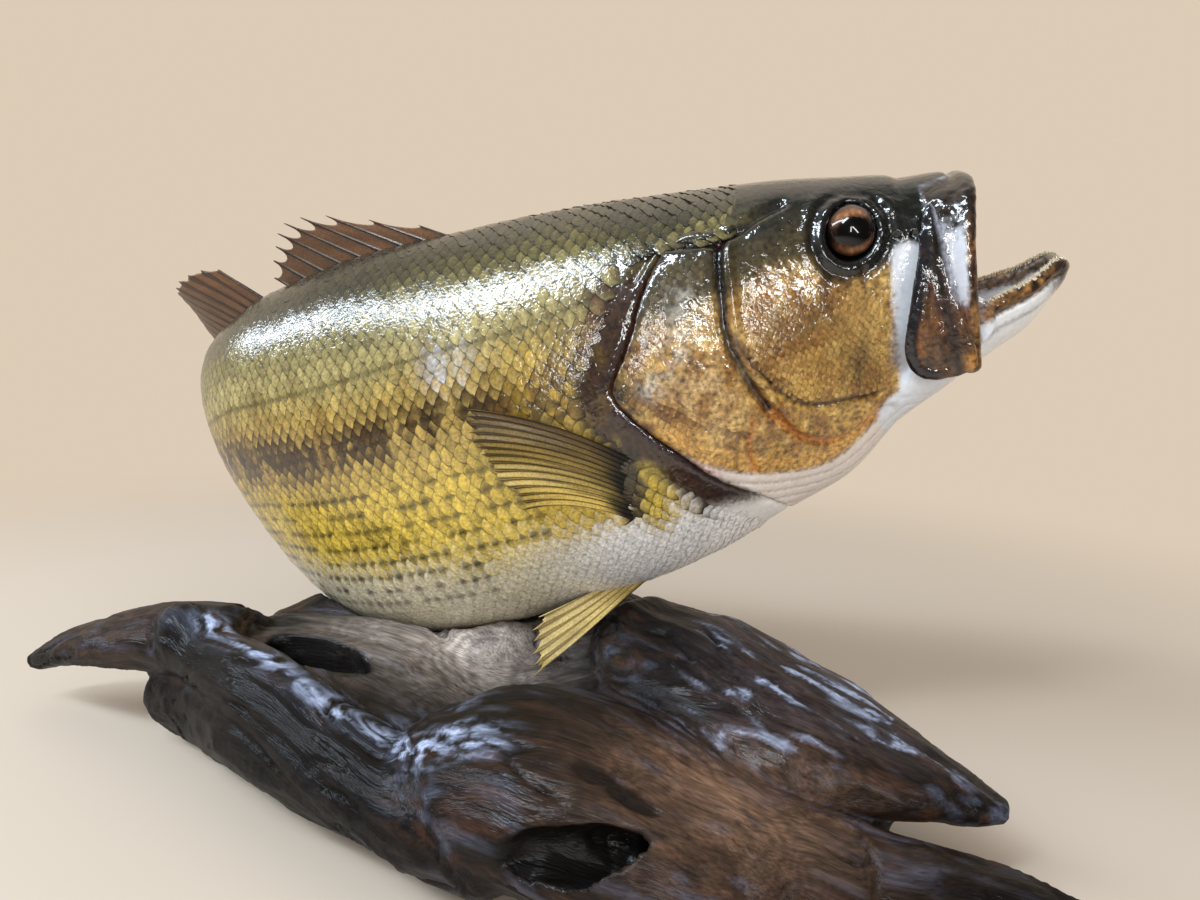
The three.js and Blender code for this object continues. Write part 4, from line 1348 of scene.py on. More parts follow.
# ---- repeated pieces by Geometry Nodes ------------------------------------------------------
@dataclass(frozen=True)
class Scatter:
    """Sets one small shape on every seed point, turned, sized and slightly tilted."""

    lift: float = 5.0
    unrest: float = 2.5
    seed: int = 3

    def tree(self) -> bpy.types.NodeTree:
        """Builds the node tree, with its sizes as named inputs.

        Returns:
            The tree.
        """
        tree = bpy.data.node_groups.new("scatter", "GeometryNodeTree")
        for name, kind in (("Geometry", "Geometry"), ("Shape", "Object"), ("Lift", "Float"),
                           ("Unrest", "Float"), ("Seed", "Int"), ("Material", "Material")):
            tree.interface.new_socket(name, in_out="INPUT", socket_type=f"NodeSocket{kind}")
        tree.interface.new_socket("Geometry", in_out="OUTPUT", socket_type="NodeSocketGeometry")
        nodes = Wiring(tree)
        given = nodes.add("NodeGroupInput").outputs
        shape = nodes.out("GeometryNodeObjectInfo", "Geometry", {"Object": given["Shape"]})
        turn, size = (nodes.out("GeometryNodeInputNamedAttribute", "Attribute", {"Name": name},
                                data_type=kind) for name,
                      kind in (("turn", "QUATERNION"), ("size", "FLOAT_VECTOR")))
        most, up = (nodes.out("ShaderNodeMath", 0, {0: given[name]}, operation="RADIANS")
                    for name in ("Unrest", "Lift"))
        least, down = (nodes.out("ShaderNodeMath", 0, {0: angle, 1: -1.0}, operation="MULTIPLY")
                       for angle in (most, up))
        jitter = nodes.out("FunctionNodeRandomValue", "Value",
                           {"Min": least, "Max": most, "Seed": given["Seed"]},
                           data_type="FLOAT_VECTOR")
        lean = nodes.out("ShaderNodeCombineXYZ", "Vector", {"Y": down})
        angles = nodes.out("ShaderNodeVectorMath", "Vector", {0: jitter, 1: lean})
        own = nodes.out("FunctionNodeEulerToRotation", "Rotation", {"Euler": angles})
        both = nodes.out("FunctionNodeRotateRotation", "Rotation",
                         {"Rotation": turn, "Rotate By": own}, rotation_space="LOCAL")
        copies = nodes.out("GeometryNodeInstanceOnPoints", "Instances",
                           {"Points": given["Geometry"], "Instance": shape, "Rotation": both,
                            "Scale": size})
        real = nodes.out("GeometryNodeRealizeInstances", "Geometry", {"Geometry": copies})
        dressed = nodes.out("GeometryNodeSetMaterial", "Geometry",
                            {"Geometry": real, "Material": given["Material"]})
        nodes.add("NodeGroupOutput", {"Geometry": dressed})
        return tree

    def spread(self, name: str, seeds: "Seeds", shape: Thing,
               finish: Material) -> Thing:
        """Makes one joined mesh of the shape on every seed.

        Args:
            name: The piece's name.
            seeds: The seeds.
            shape: The shape to copy.
            finish: Its material.

        Returns:
            The piece.
        """
        mesh = bpy.data.meshes.new(name)
        mesh.from_pydata(seeds.places.tolist(), [], [])
        layer = mesh.attributes.new("turn", "QUATERNION", "POINT")
        layer.data.foreach_set("value", seeds.turns().astype(np.float32).ravel())
        set_value(mesh, "size", seeds.sizes)
        made = linked(name, mesh)
        mod = made.modifiers.new("scatter", "NODES")
        mod.node_group = self.tree()
        given = {"Shape": shape, "Lift": self.lift, "Unrest": self.unrest, "Seed": self.seed,
                 "Material": finish}
        for item in mod.node_group.interface.items_tree:
            if item.in_out == "INPUT" and item.name in given:
                mod[item.identifier] = given[item.name]
        bake_modifiers(made)
        return made


@dataclass
class Seeds:
    """Places in metres, the shapes' own axes, their sizes in metres and what they carry."""

    places: Array
    along: Array
    normal: Array
    sizes: Array
    uv: Array
    marks: Array
    spots: Array
    steps: Array
    shades: Array

    def turns(self) -> Array:
        """The turn of each shape as a quaternion (w, x, y, z).

        Returns:
            The quaternions.
        """
        x = self.along / np.linalg.norm(self.along, axis=1, keepdims=True)
        z = self.normal - (self.normal * x).sum(1, keepdims=True) * x
        z /= np.linalg.norm(z, axis=1, keepdims=True)
        y = np.cross(z, x)
        m = np.stack([x, y, z], -1)
        trace = m[:, 0, 0] + m[:, 1, 1] + m[:, 2, 2]
        parts = np.stack([1 + trace, 1 + 2 * m[:, 0, 0] - trace, 1 + 2 * m[:, 1, 1] - trace,
                          1 + 2 * m[:, 2, 2] - trace], -1)
        best = parts.argmax(1)
        root = 2 * np.sqrt(parts.max(1))
        a, b, c = (m[:, 2, 1] - m[:, 1, 2], m[:, 0, 2] - m[:, 2, 0], m[:, 1, 0] - m[:, 0, 1])
        d, e, f = (m[:, 1, 0] + m[:, 0, 1], m[:, 0, 2] + m[:, 2, 0], m[:, 2, 1] + m[:, 1, 2])
        big = root / 4
        rows = np.stack([np.stack([big, a / root, b / root, c / root], -1),
                         np.stack([a / root, big, d / root, e / root], -1),
                         np.stack([b / root, d / root, big, f / root], -1),
                         np.stack([c / root, e / root, f / root, big], -1)], 1)
        return rows[np.arange(len(best)), best]

    @property
    def hands(self) -> Array:
        """Which way each shape's own width runs round the body: 1 or -1."""
        flank = np.sign(self.uv[:, 1] - 0.5)
        return np.where(flank == 0, 1.0, flank)[:, None, None]

    def some(self, keep: Array) -> "Seeds":
        """The seeds that `keep` names."""
        return Seeds(*(v[keep] for v in vars(self).values()))


# ---- scales ---------------------------------------------------------------------------------
@dataclass(frozen=True)
class ScaleShape:
    """One thin scale, drawn from its root (x = 0) to its free edge (x = 1)."""

    stations: tuple[Place, ...] = (
        (0.0, 0.22, -0.40), (0.30, 0.44, 0.04), (0.64, 0.50, 0.38), (0.82, 0.35, 0.50),
        (0.93, 0.17, 0.55), (1.0, 0.06, 0.55))
    spans: tuple[float, ...] = (-1.0, -0.78, 0.0, 0.78, 1.0)
    dome: float = 0.13
    thick: float = 0.26

    def points(self) -> Array:
        """Top points, station by station."""
        return np.array([[x, half * span, z - self.dome * (half * span / 0.5) ** 2]
                         for x, half, z in self.stations for span in self.spans])

    def rim(self) -> list[int]:
        """The top points round the edge, in the order of the points under them.

        Returns:
            Point numbers.
        """
        wide, tall = len(self.spans), len(self.stations)
        rim = [j for j in range(wide)] + [i * wide + wide - 1 for i in range(1, tall)]
        rim += [(tall - 1) * wide + j for j in range(wide - 2, -1, -1)]
        return rim + [i * wide for i in range(tall - 2, 0, -1)]

    def tone(self) -> tuple[Array, Array]:
        """How near each top point is to the scale's edge, and to its middle.

        Returns:
            Both, from 0 to 1.
        """
        wide, tall = len(self.spans), len(self.stations)
        edge = np.zeros((tall, wide))
        edge[:, 0] = edge[:, -1] = 1.0
        edge[-1] = 1.0
        edge[0] = 0.9
        edge[1] = np.maximum(edge[1], 0.55)
        edge[-2] = np.maximum(edge[-2], 0.3)
        middle = np.zeros((tall, wide))
        middle[2, 2], middle[3, 2], middle[4, 2] = 1.0, 1.0, 0.35
        middle[2, 1] = middle[2, 3] = middle[3, 1] = middle[3, 3] = 0.25
        return edge.ravel(), middle.ravel()

    def build(self) -> Thing:
        """The scale as a closed shell, to be copied and then removed.

        Returns:
            The shell.
        """
        top = self.points()
        wide, tall = len(self.spans), len(self.stations)
        faces = [(k, k + wide, k + wide + 1, k + 1)
                 for i in range(tall - 1) for k in range(i * wide, i * wide + wide - 1)]
        rim = self.rim()
        under = top[rim] - (0, 0, self.thick)
        first = len(top)
        count = len(rim)
        faces += [(rim[k], rim[(k + 1) % count], first + (k + 1) % count, first + k)
                  for k in range(count)]
        faces.append(tuple(first + k for k in range(count)))
        mesh = bpy.data.meshes.new("scale")
        mesh.from_pydata(np.vstack([top, under]).tolist(), [], faces)
        for edge in mesh.edges:
            edge.use_edge_sharp = (edge.vertices[0] in rim) and (edge.vertices[1] in rim)
        mesh.polygons.foreach_set("use_smooth", np.full(len(mesh.polygons), True))
        return linked("scale", mesh)


class Field(Enum):
    """The part of the fish that a field of scales covers."""

    FLANK = "flank"
    BREAST = "breast"
    CHEEK = "cheek"


@dataclass(frozen=True)
class ScaleField:
    """Rows of scales laid by arc length from the lateral line, each second row half a step on."""

    where: Field
    pitch_along: float = 5.2
    pitch_row: float = 4.0
    length: float = 8.8
    width: float = 8.6
    start: float = 74.0
    end: float = 466.0

    def share(self, back: Array, side: Array, rise: Array) -> Array:
        """True where this field has scales.

        Args:
            back, side, rise: The points' coordinates, in millimetres.

        Returns:
            The choice.
        """
        spot = spots(back, side, rise)
        edge = HEAD.cover.distance(back, rise) + 1.2 * noise(spot, 6, 71)
        bare = np.where(rise > 49, np.minimum(edge + 9.0, back - 80.0), edge - 8.0)
        breast = ease(235, 175, back) * ease(-40, -56, rise) + 0.25 * noise(spot, 22, 72) > 0.5
        if self.where is Field.CHEEK:
            cheek = HEAD.cheek.distance(back, rise) < -1.5
            plate = ((edge < -6) & (HEAD.membrane.distance(back, rise) > 7) & (back > 99)
                     & (rise < 44))
            return (cheek | plate) & (np.abs(side) > 12)
        return (bare > 0) & (breast if self.where is Field.BREAST else ~breast)

    def seeds(self, skin_inset: float) -> Seeds:
        """Lays out the seeds on both flanks.

        Args:
            skin_inset: How deep under the body the roots lie.

        Returns:
            The seeds.
        """
        angle = np.linspace(0.0, np.pi, 500)
        back, turn, row = [], [], []
        at, k = self.start, 0
        while at < self.end:
            shrink = 1.0 - 0.3 * float(ease(330, 460, at)) - 0.12 * float(ease(120, 80, at))
            side, rise = BODY.section(at, angle, skin_inset)
            arc = np.concatenate([[0], np.cumsum(np.hypot(np.diff(side), np.diff(rise)))])
            zero = np.interp(-BODY.lateral(at), -rise, arc)
            pitch = self.pitch_row * shrink
            rows = np.arange(math.ceil(-zero / pitch), int((arc[-1] - zero) / pitch) + 1)
            rows = rows[rows % 2 == k % 2]
            turn.append(np.interp(rows * pitch + zero, arc, angle))
            back.append(np.full(len(rows), at))
            row.append(rows)
            at, k = at + self.pitch_along * shrink / 2, k + 1
        back, turn, row = (np.concatenate(v) for v in (back, turn, row))
        rng = np.random.default_rng(11)
        back = back + rng.normal(0, 0.18, len(back))
        side, rise = BODY.section(back, turn, skin_inset)
        keep = self.share(back, side, rise)
        back, turn, row = back[keep], turn[keep], row[keep]
        hands = [self.flank(hand, back, turn, row, skin_inset, rng) for hand in (-1, 1)]
        return Seeds(*(np.concatenate(v) for v in zip(*hands)))

    def flank(self, hand: int, back: Array, turn: Array, row: Array, inset: float,
              rng: np.random.Generator) -> tuple[Array, ...]:
        """The seeds of one flank.

        Args:
            hand: -1 for the right side, 1 for the left.
            back: Distances behind the snout.
            turn: Angles round the body.
            row: Which row each seed is in.
            inset: How deep under the body the roots lie.
            rng: The random numbers.

        Returns:
            The parts of its seeds.
        """
        lift = BODY.cover_lift(back) if self.where is Field.CHEEK else 0.0 * back

        def at(b: Array, a: Array) -> Array:
            """Where a point at station `b` and angle `a` lies, in metres."""
            side, rise = BODY.section(b, a, inset)
            return POSE.place(b, -hand * (side - lift), rise)

        here = at(back, turn)
        along = at(back + 1, turn) - at(back - 1, turn)
        across = at(back, turn + 0.01) - at(back, turn - 0.01)
        normal = np.cross(along, across)
        side, rise = BODY.section(back, turn, inset)
        centre = POSE.place(back, 0 * side, BODY.level(back))
        normal *= np.sign((normal * (here - centre)).sum(1, keepdims=True))
        shrink = 1.0 - 0.3 * ease(330, 460, back) - 0.12 * ease(120, 80, back)
        worn = rng.normal(1.0, 0.05, len(back)) * shrink
        sizes = (np.stack([self.length * worn, self.width * worn,
                           (0.55 + 0.45 * worn) * self.length / 8.8 * np.ones_like(worn)], -1) * MM)
        spots = np.stack([back, side - lift, rise], -1)
        next_side, next_rise = BODY.section(back, turn + 0.01, inset)
        steps = np.stack([0 * back, next_side - side, next_rise - rise], -1)
        steps /= np.linalg.norm(steps, axis=1, keepdims=True)
        shades = rng.normal(0.0, 0.11, len(back))
        uv = np.stack([(back + 40) / 520, 0.5 + hand * turn / np.pi * 0.48], -1)
        low = rise - AIRBRUSH.stripe_rise(back)
        spotted = ((row % 2 == 0) & (rng.uniform(0, 1, len(back)) < 0.82)
                   & (self.where is Field.FLANK))
        spotted &= (low < -17) & (rise > -80) & (back > 165)
        marks = np.where(spotted, rng.uniform(0.7, 1.0, len(back)), 0.0) * ease(-84, -64, rise)
        marks = np.where(row == 0, 0.6 * (self.where is Field.FLANK), marks)
        return here, along, normal, sizes, uv, marks, spots, steps, shades


@dataclass(frozen=True)
class Coat:
    """All the scales, in pieces of one field each."""

    inset: float = 1.0
    most: int = 2050

    def build(self) -> None:
        """Lays every field of scales."""
        shape = ScaleShape()
        master = shape.build()
        finish = Finish("scales", coat=1.0, rough=0.42, coat_rough=0.04, bump=0.2, grain=750.0,
                        wet=0.16, wet_grain=380.0, mottle=0.36).material()
        fields = (ScaleField(Field.FLANK),
                  ScaleField(Field.BREAST, 4.4, 3.3, 7.2, 6.8, 96, 250),
                  ScaleField(Field.CHEEK, 2.9, 2.2, 4.3, 3.9, 38, 140))
        for plan in fields:
            cheek = plan.where is Field.CHEEK
            seeds = plan.seeds(0.42 if cheek else self.inset)
            order = np.argsort(seeds.uv[:, 1], kind="stable")
            parts = max(1, math.ceil(len(order) / self.most))
            for k, keep in enumerate(np.array_split(order, parts)):
                name = f"scales_{plan.where.value}_{k + 1}"
                some = seeds.some(keep)
                calm = plan.where is Field.BREAST
                scatter = Scatter(lift=0.6 if cheek else 2.3, unrest=0.8 if calm or cheek else 1.5,
                                  seed=5 + k)
                piece = scatter.spread(name, some, master, finish)
                self.paint(piece, some, shape, cheek)
                stands_for(piece, "head_skin" if cheek else "scaled_skin")
        bpy.data.objects.remove(master)

    @staticmethod
    def paint(piece: Thing, seeds: Seeds, shape: ScaleShape, on_head: bool) -> None:
        """Colours every scale by its place, with painted shade on its rim and a painted highlight
        in its middle, and lays its patch of the map.

        Args:
            piece: The piece.
            seeds: The seeds.
            shape: The scale that was copied.
            on_head: True for the head's scales.
        """
        count = len(piece.data.vertices) // len(seeds.places)
        top = shape.points()
        edge, middle = shape.tone()
        spare = count - len(top)
        edge = np.concatenate([edge, np.ones(spare)])
        middle = np.concatenate([middle, np.zeros(spare)])
        tail = seeds.sizes[:, None, :1] / MM * top[None, :, :1] * (1.0, 0.0, 0.0)
        across = seeds.sizes[:, None, 1:2] / MM * top[None, :, 1:2] * seeds.steps[:, None, :]
        places = (seeds.spots[:, None, :] + tail + seeds.hands * across).reshape(-1, 3)
        painted = AIRBRUSH.scale(*places.T, on_head).reshape(len(seeds.places), len(top), 3)
        order = np.concatenate([np.arange(len(top)), shape.rim()])
        painted = painted[:, order]
        pale = ease(0.24, 0.44, painted.mean(2))
        # Painted light: each scale's rim and root are darkened as painted shade, and its middle is
        # lifted as a painted highlight, most on dark scales high on the flank.
        soft = (0.4 if on_head else 1.0) * (1 - 0.72 * ease(0.26, 0.46, painted.mean(2)))
        high = ease(16, 28, seeds.spots[:, 2])[:, None]
        lift = 0.1 + 1.5 * high * ease(0.12, 0.03, painted.mean(2))
        tone = 1 + lift * soft * (1 - edge) - 0.88 * soft * edge
        tone = tone * (1 - 0.93 * seeds.marks[:, None] * middle)
        tone = tone * (1 + seeds.shades[:, None] * (1 - 0.75 * pale))
        set_colour(piece.data, (painted * tone[:, :, None]).reshape(-1, 3))
        local = np.vstack([top[:, :2] + (0, 0.5), np.full((spare, 2), 0.5)])
        uv = (seeds.uv[:, None, :] + 0.003 * (local[None] - 0.5)).reshape(-1, 2)
        layer = piece.data.uv_layers.new(name="OFBake")
        loops = np.empty(len(piece.data.loops), np.int32)
        piece.data.loops.foreach_get("vertex_index", loops)
        layer.data.foreach_set("uv", uv[loops].astype(np.float32).ravel())


# ---- fins -----------------------------------------------------------------------------------
@dataclass(frozen=True)
class Fin:
    """A thin fan of rays with skin between them.

    Each ray runs from a root to a tip, both (back, side, rise); the rays in between are found
    along the fan.
    """

    name: str
    slot: str
    roots: Points2
    tips: Points2
    rays: int
    notch: float = 0.05
    bow: Place = (0.0, 0.0, 0.0)
    thick: float = 1.6
    spiny: bool = False
    wave: float = 1.2
    upper: Colour = (70, 50, 30)
    lower: Colour = (70, 50, 30)
    ray_colour: Colour = (40, 28, 18)
    across: int = 12
    along: int = 34
    seed: int = 1

    def build(self) -> Thing:
        """Makes the fin.

        Returns:
            The piece.
        """
        columns = (self.rays - 1) * self.across + 1
        u = np.linspace(0, 1, columns)
        given = np.linspace(0, 1, len(self.roots))
        roots, tips = (np.stack([Track(tuple(zip(given, row)))(u) for row in np.array(rows).T], -1)
                       for rows in (self.roots, self.tips))
        part = (u * (self.rays - 1)) % 1.0
        gap = np.minimum(part, 1 - part)
        worn = noise(np.stack([u * self.rays, 0 * u, 0 * u], -1), 1.1, self.seed)
        fray = noise(np.stack([u * self.rays, 0 * u, 0 * u], -1), 0.27, self.seed + 1)
        reach = 1 - self.notch * (4 * part * (1 - part)) ** 0.6
        reach -= 0.0 if self.spiny else 0.035 * (1 + worn) + 0.02 * (1 + fray)
        t = np.linspace(0, 1, self.along)[None, :] * reach[:, None]
        middle = roots[:, None] + (tips - roots)[:, None] * t[..., None]
        middle = middle + (4 * t * (1 - t))[..., None] * np.array(self.bow)
        ray = self.ray_height(gap[:, None], t)
        membrane = 0.27
        half = membrane + (self.thick / 2 - membrane) * ray * (1 - 0.55 * t)
        half = half * (1 - 0.4 * (np.linspace(0, 1, self.along)[None, :] > 0.985))
        placed = POSE.place(middle[..., 0], middle[..., 1], middle[..., 2]) / MM
        du = np.gradient(placed, axis=0)
        dt = np.gradient(placed, axis=1)
        normal = np.cross(du, dt)
        normal /= np.maximum(np.linalg.norm(normal, axis=-1, keepdims=True), 1e-9)
        ripple = self.wave * np.sin(u * self.rays * 0.9 + 1.0)[:, None] * t**1.5
        ripple = (ripple + 0.5 * self.wave * np.sin(2 * np.pi * part)[:, None] * t
                  * (0.6 if self.spiny else 0.25))
        placed = placed + normal * ripple[..., None]
        points = (np.concatenate([(placed + s * normal * half[..., None]).reshape(-1, 3)
                                  for s in (1, -1)]) * MM)
        wide, tall = columns, self.along
        i, j = np.meshgrid(np.arange(wide - 1), np.arange(tall - 1), indexing="ij")
        a = (i * tall + j).ravel()
        front = np.stack([a, a + tall, a + tall + 1, a + 1], -1)
        other = wide * tall
        rim = np.concatenate([np.arange(wide) * tall, (wide - 1) * tall + np.arange(1, tall),
                              np.arange(wide - 2, -1, -1) * tall + tall - 1,
                              np.arange(tall - 2, 0, -1)])
        after = np.roll(rim, -1)
        sides = np.stack([after, rim, rim + other, after + other], -1)
        faces = outward(points, np.vstack([front, front[:, ::-1] + other, sides]))
        fin = new_object(self.name, points, faces)
        colours = self.paint(u, t, ray)
        set_colour(fin.data, np.concatenate([colours, colours]))
        fin.data.materials.append(Finish("fins", coat=0.35, rough=0.55, coat_rough=0.1, bump=0.2,
                                         grain=1400.0, mottle=0.3, coat_index=1.5).material())
        stands_for(fin, self.slot, self.name)
        return fin

    def ray_height(self, gap: Array, t: Array) -> Array:
        """How far each point stands up as part of a ray, from 0 to 1.

        Args:
            gap: Distance to the nearest ray, in rays.
            t: Share of the way out, 0 to 1.

        Returns:
            The heights.
        """
        if self.spiny:
            return bell(gap, 0, 0.125 - 0.055 * t)
        first = 0.16 * ease(0.35, 1.0, t)
        second = 0.07 * ease(0.65, 1.0, t)
        bands = [bell(gap - first - s * second, 0, 0.125 - 0.05 * t) for s in (-1, 1)]
        return np.clip(np.maximum(*bands), 0, 1)

    def paint(self, u: Array, t: Array, ray: Array) -> Array:
        """Colours over the fin's grid.

        Args:
            u: Share of the way along the fan, 0 to 1.
            t: Share of the way out, 0 to 1.
            ray: How far each point stands up as part of a ray.

        Returns:
            The colours.
        """
        spot = spots(np.broadcast_to(u[:, None] * 40, t.shape), t * 40, 0 * t)
        spray = Spray(self.upper, spot.shape)
        spray(self.lower, np.broadcast_to(u[:, None], t.shape) ** 1.3)
        spray.colours *= (1 + 0.35 * layered(spot, 9, self.seed, 2))[..., None]
        spray(self.ray_colour, np.clip(ray, 0, 1) ** (0.6 if self.slot == "dark_fin" else 1.1)
              * 0.9)
        joints = 0.5 + 0.5 * np.sin(t * 150)
        if not self.spiny:
            streak = layered(spot * (1, 0.06, 1), 0.85, self.seed + 5, 2)
            spray(self.ray_colour, 0.55 * ease(0.1, 0.7, streak) * ease(1.0, 0.5, t))
        if self.spiny:
            part = ((u * (self.rays - 1)) % 1)[:, None]
            glint = bell(np.minimum(part, 1 - part), 0.11, 0.035)
            spray((150, 146, 136), glint * 0.45 * ease(0.9, 0.5, t))
        else:
            spray.colours = lay(spray.colours, tint(*self.upper) * 1.3,
                                ray * joints * 0.15 * ease(0.15, 0.4, t))
        if self.slot == "yellow_fin" and self.rays > 8:
            spray((20, 16, 14), ease(0.30, 0.06, t + 0.06 * layered(spot, 6, 3, 2)))
        return np.clip(spray.colours, 0, 1).reshape(-1, 3)


def keel_rays(line: Track, sign: int, start: float, end: float, lengths: tuple[float, ...],
              leans: tuple[float, float]) -> tuple[Points2, Points2]:
    """Roots and tips of rays along the back (sign 1) or the belly (sign -1).

    Args:
        line: The body's outline.
        sign: 1 for the back, -1 for the belly.
        start: Station of the first ray.
        end: Station of the last ray.
        lengths: The rays' lengths.
        leans: How far the first and last ray lean, in degrees.

    Returns:
        Roots and tips.
    """
    sink, roots, tips = 5.0, [], []
    for i, length in enumerate(lengths):
        share = i / (len(lengths) - 1)
        back = start + (end - start) * share
        lean = math.radians(leans[0] + (leans[1] - leans[0]) * share)
        rise = float(line(back)) - sign * sink
        reach = length + sink
        roots.append((back, 0.0, rise))
        tips.append((back + reach * math.sin(lean), 0.0, rise + sign * reach * math.cos(lean)))
    return tuple(roots), tuple(tips)


def paired_rays(hand: int, first: Points2, last: Points2, swell: float,
                count: int = 7) -> tuple[Points2, Points2]:
    """Roots and tips between a first and a last ray, each given as (root, tip).

    Args:
        hand: -1 for the right side, 1 for the left.
        first: The first ray.
        last: The last ray.
        swell: How much longer the middle rays are.
        count: How many rays.

    Returns:
        Roots and tips.
    """
    roots, tips = [], []
    for u in np.linspace(0, 1, count):
        root = np.array(first[0]) * (1 - u) + np.array(last[0]) * u
        tip = np.array(first[1]) * (1 - u) + np.array(last[1]) * u
        tip = root + (tip - root) * (1 + swell * math.sin(math.pi * u))
        roots.append(tuple(root * (1, hand, 1)))
        tips.append(tuple(tip * (1, hand, 1)))
    return tuple(roots), tuple(tips)


def tail_rays() -> tuple[Points2, Points2]:
    """Roots and tips of the tail fin's rays.

    Returns:
        Roots and tips.
    """
    roots, tips = [], []
    for u in np.linspace(-1, 1, 11):
        angle = math.radians(40 * u)
        length = 64 + 28 * abs(u) ** 1.6
        start = BODY.length - 8 - 4 * u * u
        roots.append((start, 0.0, 29 * u))
        tips.append((start + length * math.cos(angle), 0.0, 29 * u + length * math.sin(angle)))
    return tuple(roots), tuple(tips)


def all_fins() -> list[Fin]:
    """The eight fins.

    Returns:
        The fins.
    """
    brown = {"upper": (98, 68, 46), "lower": (84, 60, 42), "ray_colour": (26, 20, 18)}
    yellow = {"upper": (84, 64, 32), "lower": (200, 172, 88), "ray_colour": (16, 10, 7)}
    cream = {"upper": (186, 162, 96), "lower": (196, 176, 122), "ray_colour": (128, 104, 56)}
    spiny = keel_rays(BODY.top, 1, 196, 288, (18, 31, 41, 43, 41, 35, 27, 19, 9), (58, 50))
    soft = keel_rays(BODY.top, 1, 307, 384, (28, 39, 44, 45, 44, 42, 39, 35, 30), (48, 68))
    anal = keel_rays(BODY.bottom, -1, 330, 392, (16, 32, 41, 43, 41, 38, 34, 29, 25), (52, 68))
    fins = [
        Fin("spiny_dorsal", "dark_fin", *spiny, rays=9, notch=0.24, thick=2.2, spiny=True,
            wave=0.8, across=20, seed=4, **brown),
        Fin("soft_dorsal", "dark_fin", *soft, rays=13, seed=5, **brown),
        Fin("anal_fin", "dark_fin", *anal, rays=11, seed=6, **brown),
        Fin("tail_fin", "dark_fin", *tail_rays(), rays=17, thick=1.7, seed=7, **brown)]
    for hand, word in ((-1, "right"), (1, "left")):
        side = paired_rays(hand, ((140, 48, -24), (190, 71, 15)),
                           ((147, 46, -49), (182, 65, -31)), 0.08)
        belly = paired_rays(hand, ((150, 17, -86), (205, 60, -108)),
                            ((160, 13, -86), (198, 52, -84)), 0.03)
        fins.append(Fin(f"pectoral_{word}", "yellow_fin", *side, rays=14, thick=1.15,
                        bow=(0, hand, 5), seed=8, **yellow))
        fins.append(Fin(f"pelvic_{word}", "yellow_fin", *belly, rays=6, notch=0.06, thick=2.0,
                        seed=9, across=16, **cream))
    return fins


# ---- teeth ----------------------------------------------------------------------------------
@dataclass(frozen=True)
class Teeth:
    """Bands of tiny teeth along the jaw's rim and inside the upper lip."""

    jaw_count: int = 1100
    lip_count: int = 700
    height: float = 1.5
    width: float = 0.6

    def build(self) -> Thing:
        """Makes the teeth.

        Returns:
            The piece.
        """
        rng = np.random.default_rng(23)
        jaw_back = rng.uniform(-26.5, 24, self.jaw_count)
        inset = rng.uniform(0.9, 4.6, self.jaw_count)
        hand = rng.choice([-1.0, 1.0], self.jaw_count)
        jaw_side = hand * np.maximum(MOUTH.jaw_width(jaw_back) - inset, 0.3)
        jaw_rise = MOUTH.jaw_rim(jaw_back) - 0.45 - 0.12 * np.abs(inset - 2.6)
        line = MOUTH.arch(400)
        at = rng.integers(6, 330, self.lip_count)
        side = line[at, 0] * rng.choice([-1.0, 1.0], self.lip_count)
        rise = line[at, 1]
        lean = rng.uniform(0.3, 1.3, self.lip_count)
        inward = np.stack([0 * side, -side / 27.0, -np.maximum(rise, 0) / 40.0], -1)
        inward /= np.linalg.norm(inward, axis=1, keepdims=True)
        lip = np.stack([MOUTH.lip_back(rise) + 3.6 + 1.6 * lean, side, rise], -1) + 2.2 * inward
        straight = np.vstack([np.stack([jaw_back, jaw_side, jaw_rise], -1), lip])
        out_jaw = np.stack([0.35 + 0 * jaw_back, -0.45 * hand, 1.0 + 0 * jaw_back], -1)
        out = np.vstack([out_jaw, inward + np.array([0.7, 0, 0])])
        places = POSE.place(*straight.T)
        normal = POSE.place(*(straight + out).T) - places
        along = np.cross(normal, rng.normal(0, 1, normal.shape))
        count = len(places)
        tall = self.height * rng.uniform(0.6, 1.1, count)
        sizes = np.stack([np.full(count, self.width), np.full(count, self.width), tall], -1) * MM
        blank = np.zeros((count, 3))
        seeds = Seeds(places, along, normal, sizes, blank[:, :2], blank[:, 0], blank, blank,
                      blank[:, 0])
        bpy.ops.mesh.primitive_cone_add(vertices=7, radius1=0.5, radius2=0.05, depth=1.0)
        cone = bpy.context.object
        cone.data.transform(Matrix.Translation((0, 0, 0.3)))
        finish = plain_finish("teeth", (0.62, 0.52, 0.36), 0.3, 0.6)
        teeth = Scatter(lift=0.0, unrest=9.0, seed=2).spread("teeth", seeds, cone, finish)
        bpy.data.objects.remove(cone)
        stands_for(teeth, "lip_skin")
        return teeth


def plain_finish(name: str, colour: Place, rough: float, coat: float) -> Material:
    """A material of one linear colour.

    Args:
        name: The material's name.
        colour: Its linear colour.
        rough: Its roughness.
        coat: How much varnish lies on it.

    Returns:
        The material.
    """
    made = bpy.data.materials.new(name)
    made.use_nodes = True
    Wiring(made.node_tree).fill(made.node_tree.nodes["Principled BSDF"],
                                {"Base Color": (*colour, 1), "Roughness": rough,
                                 "Coat Weight": coat})
    return made


# ---- driftwood ------------------------------------------------------------------------------
Station = tuple[float, float, float, float, float]


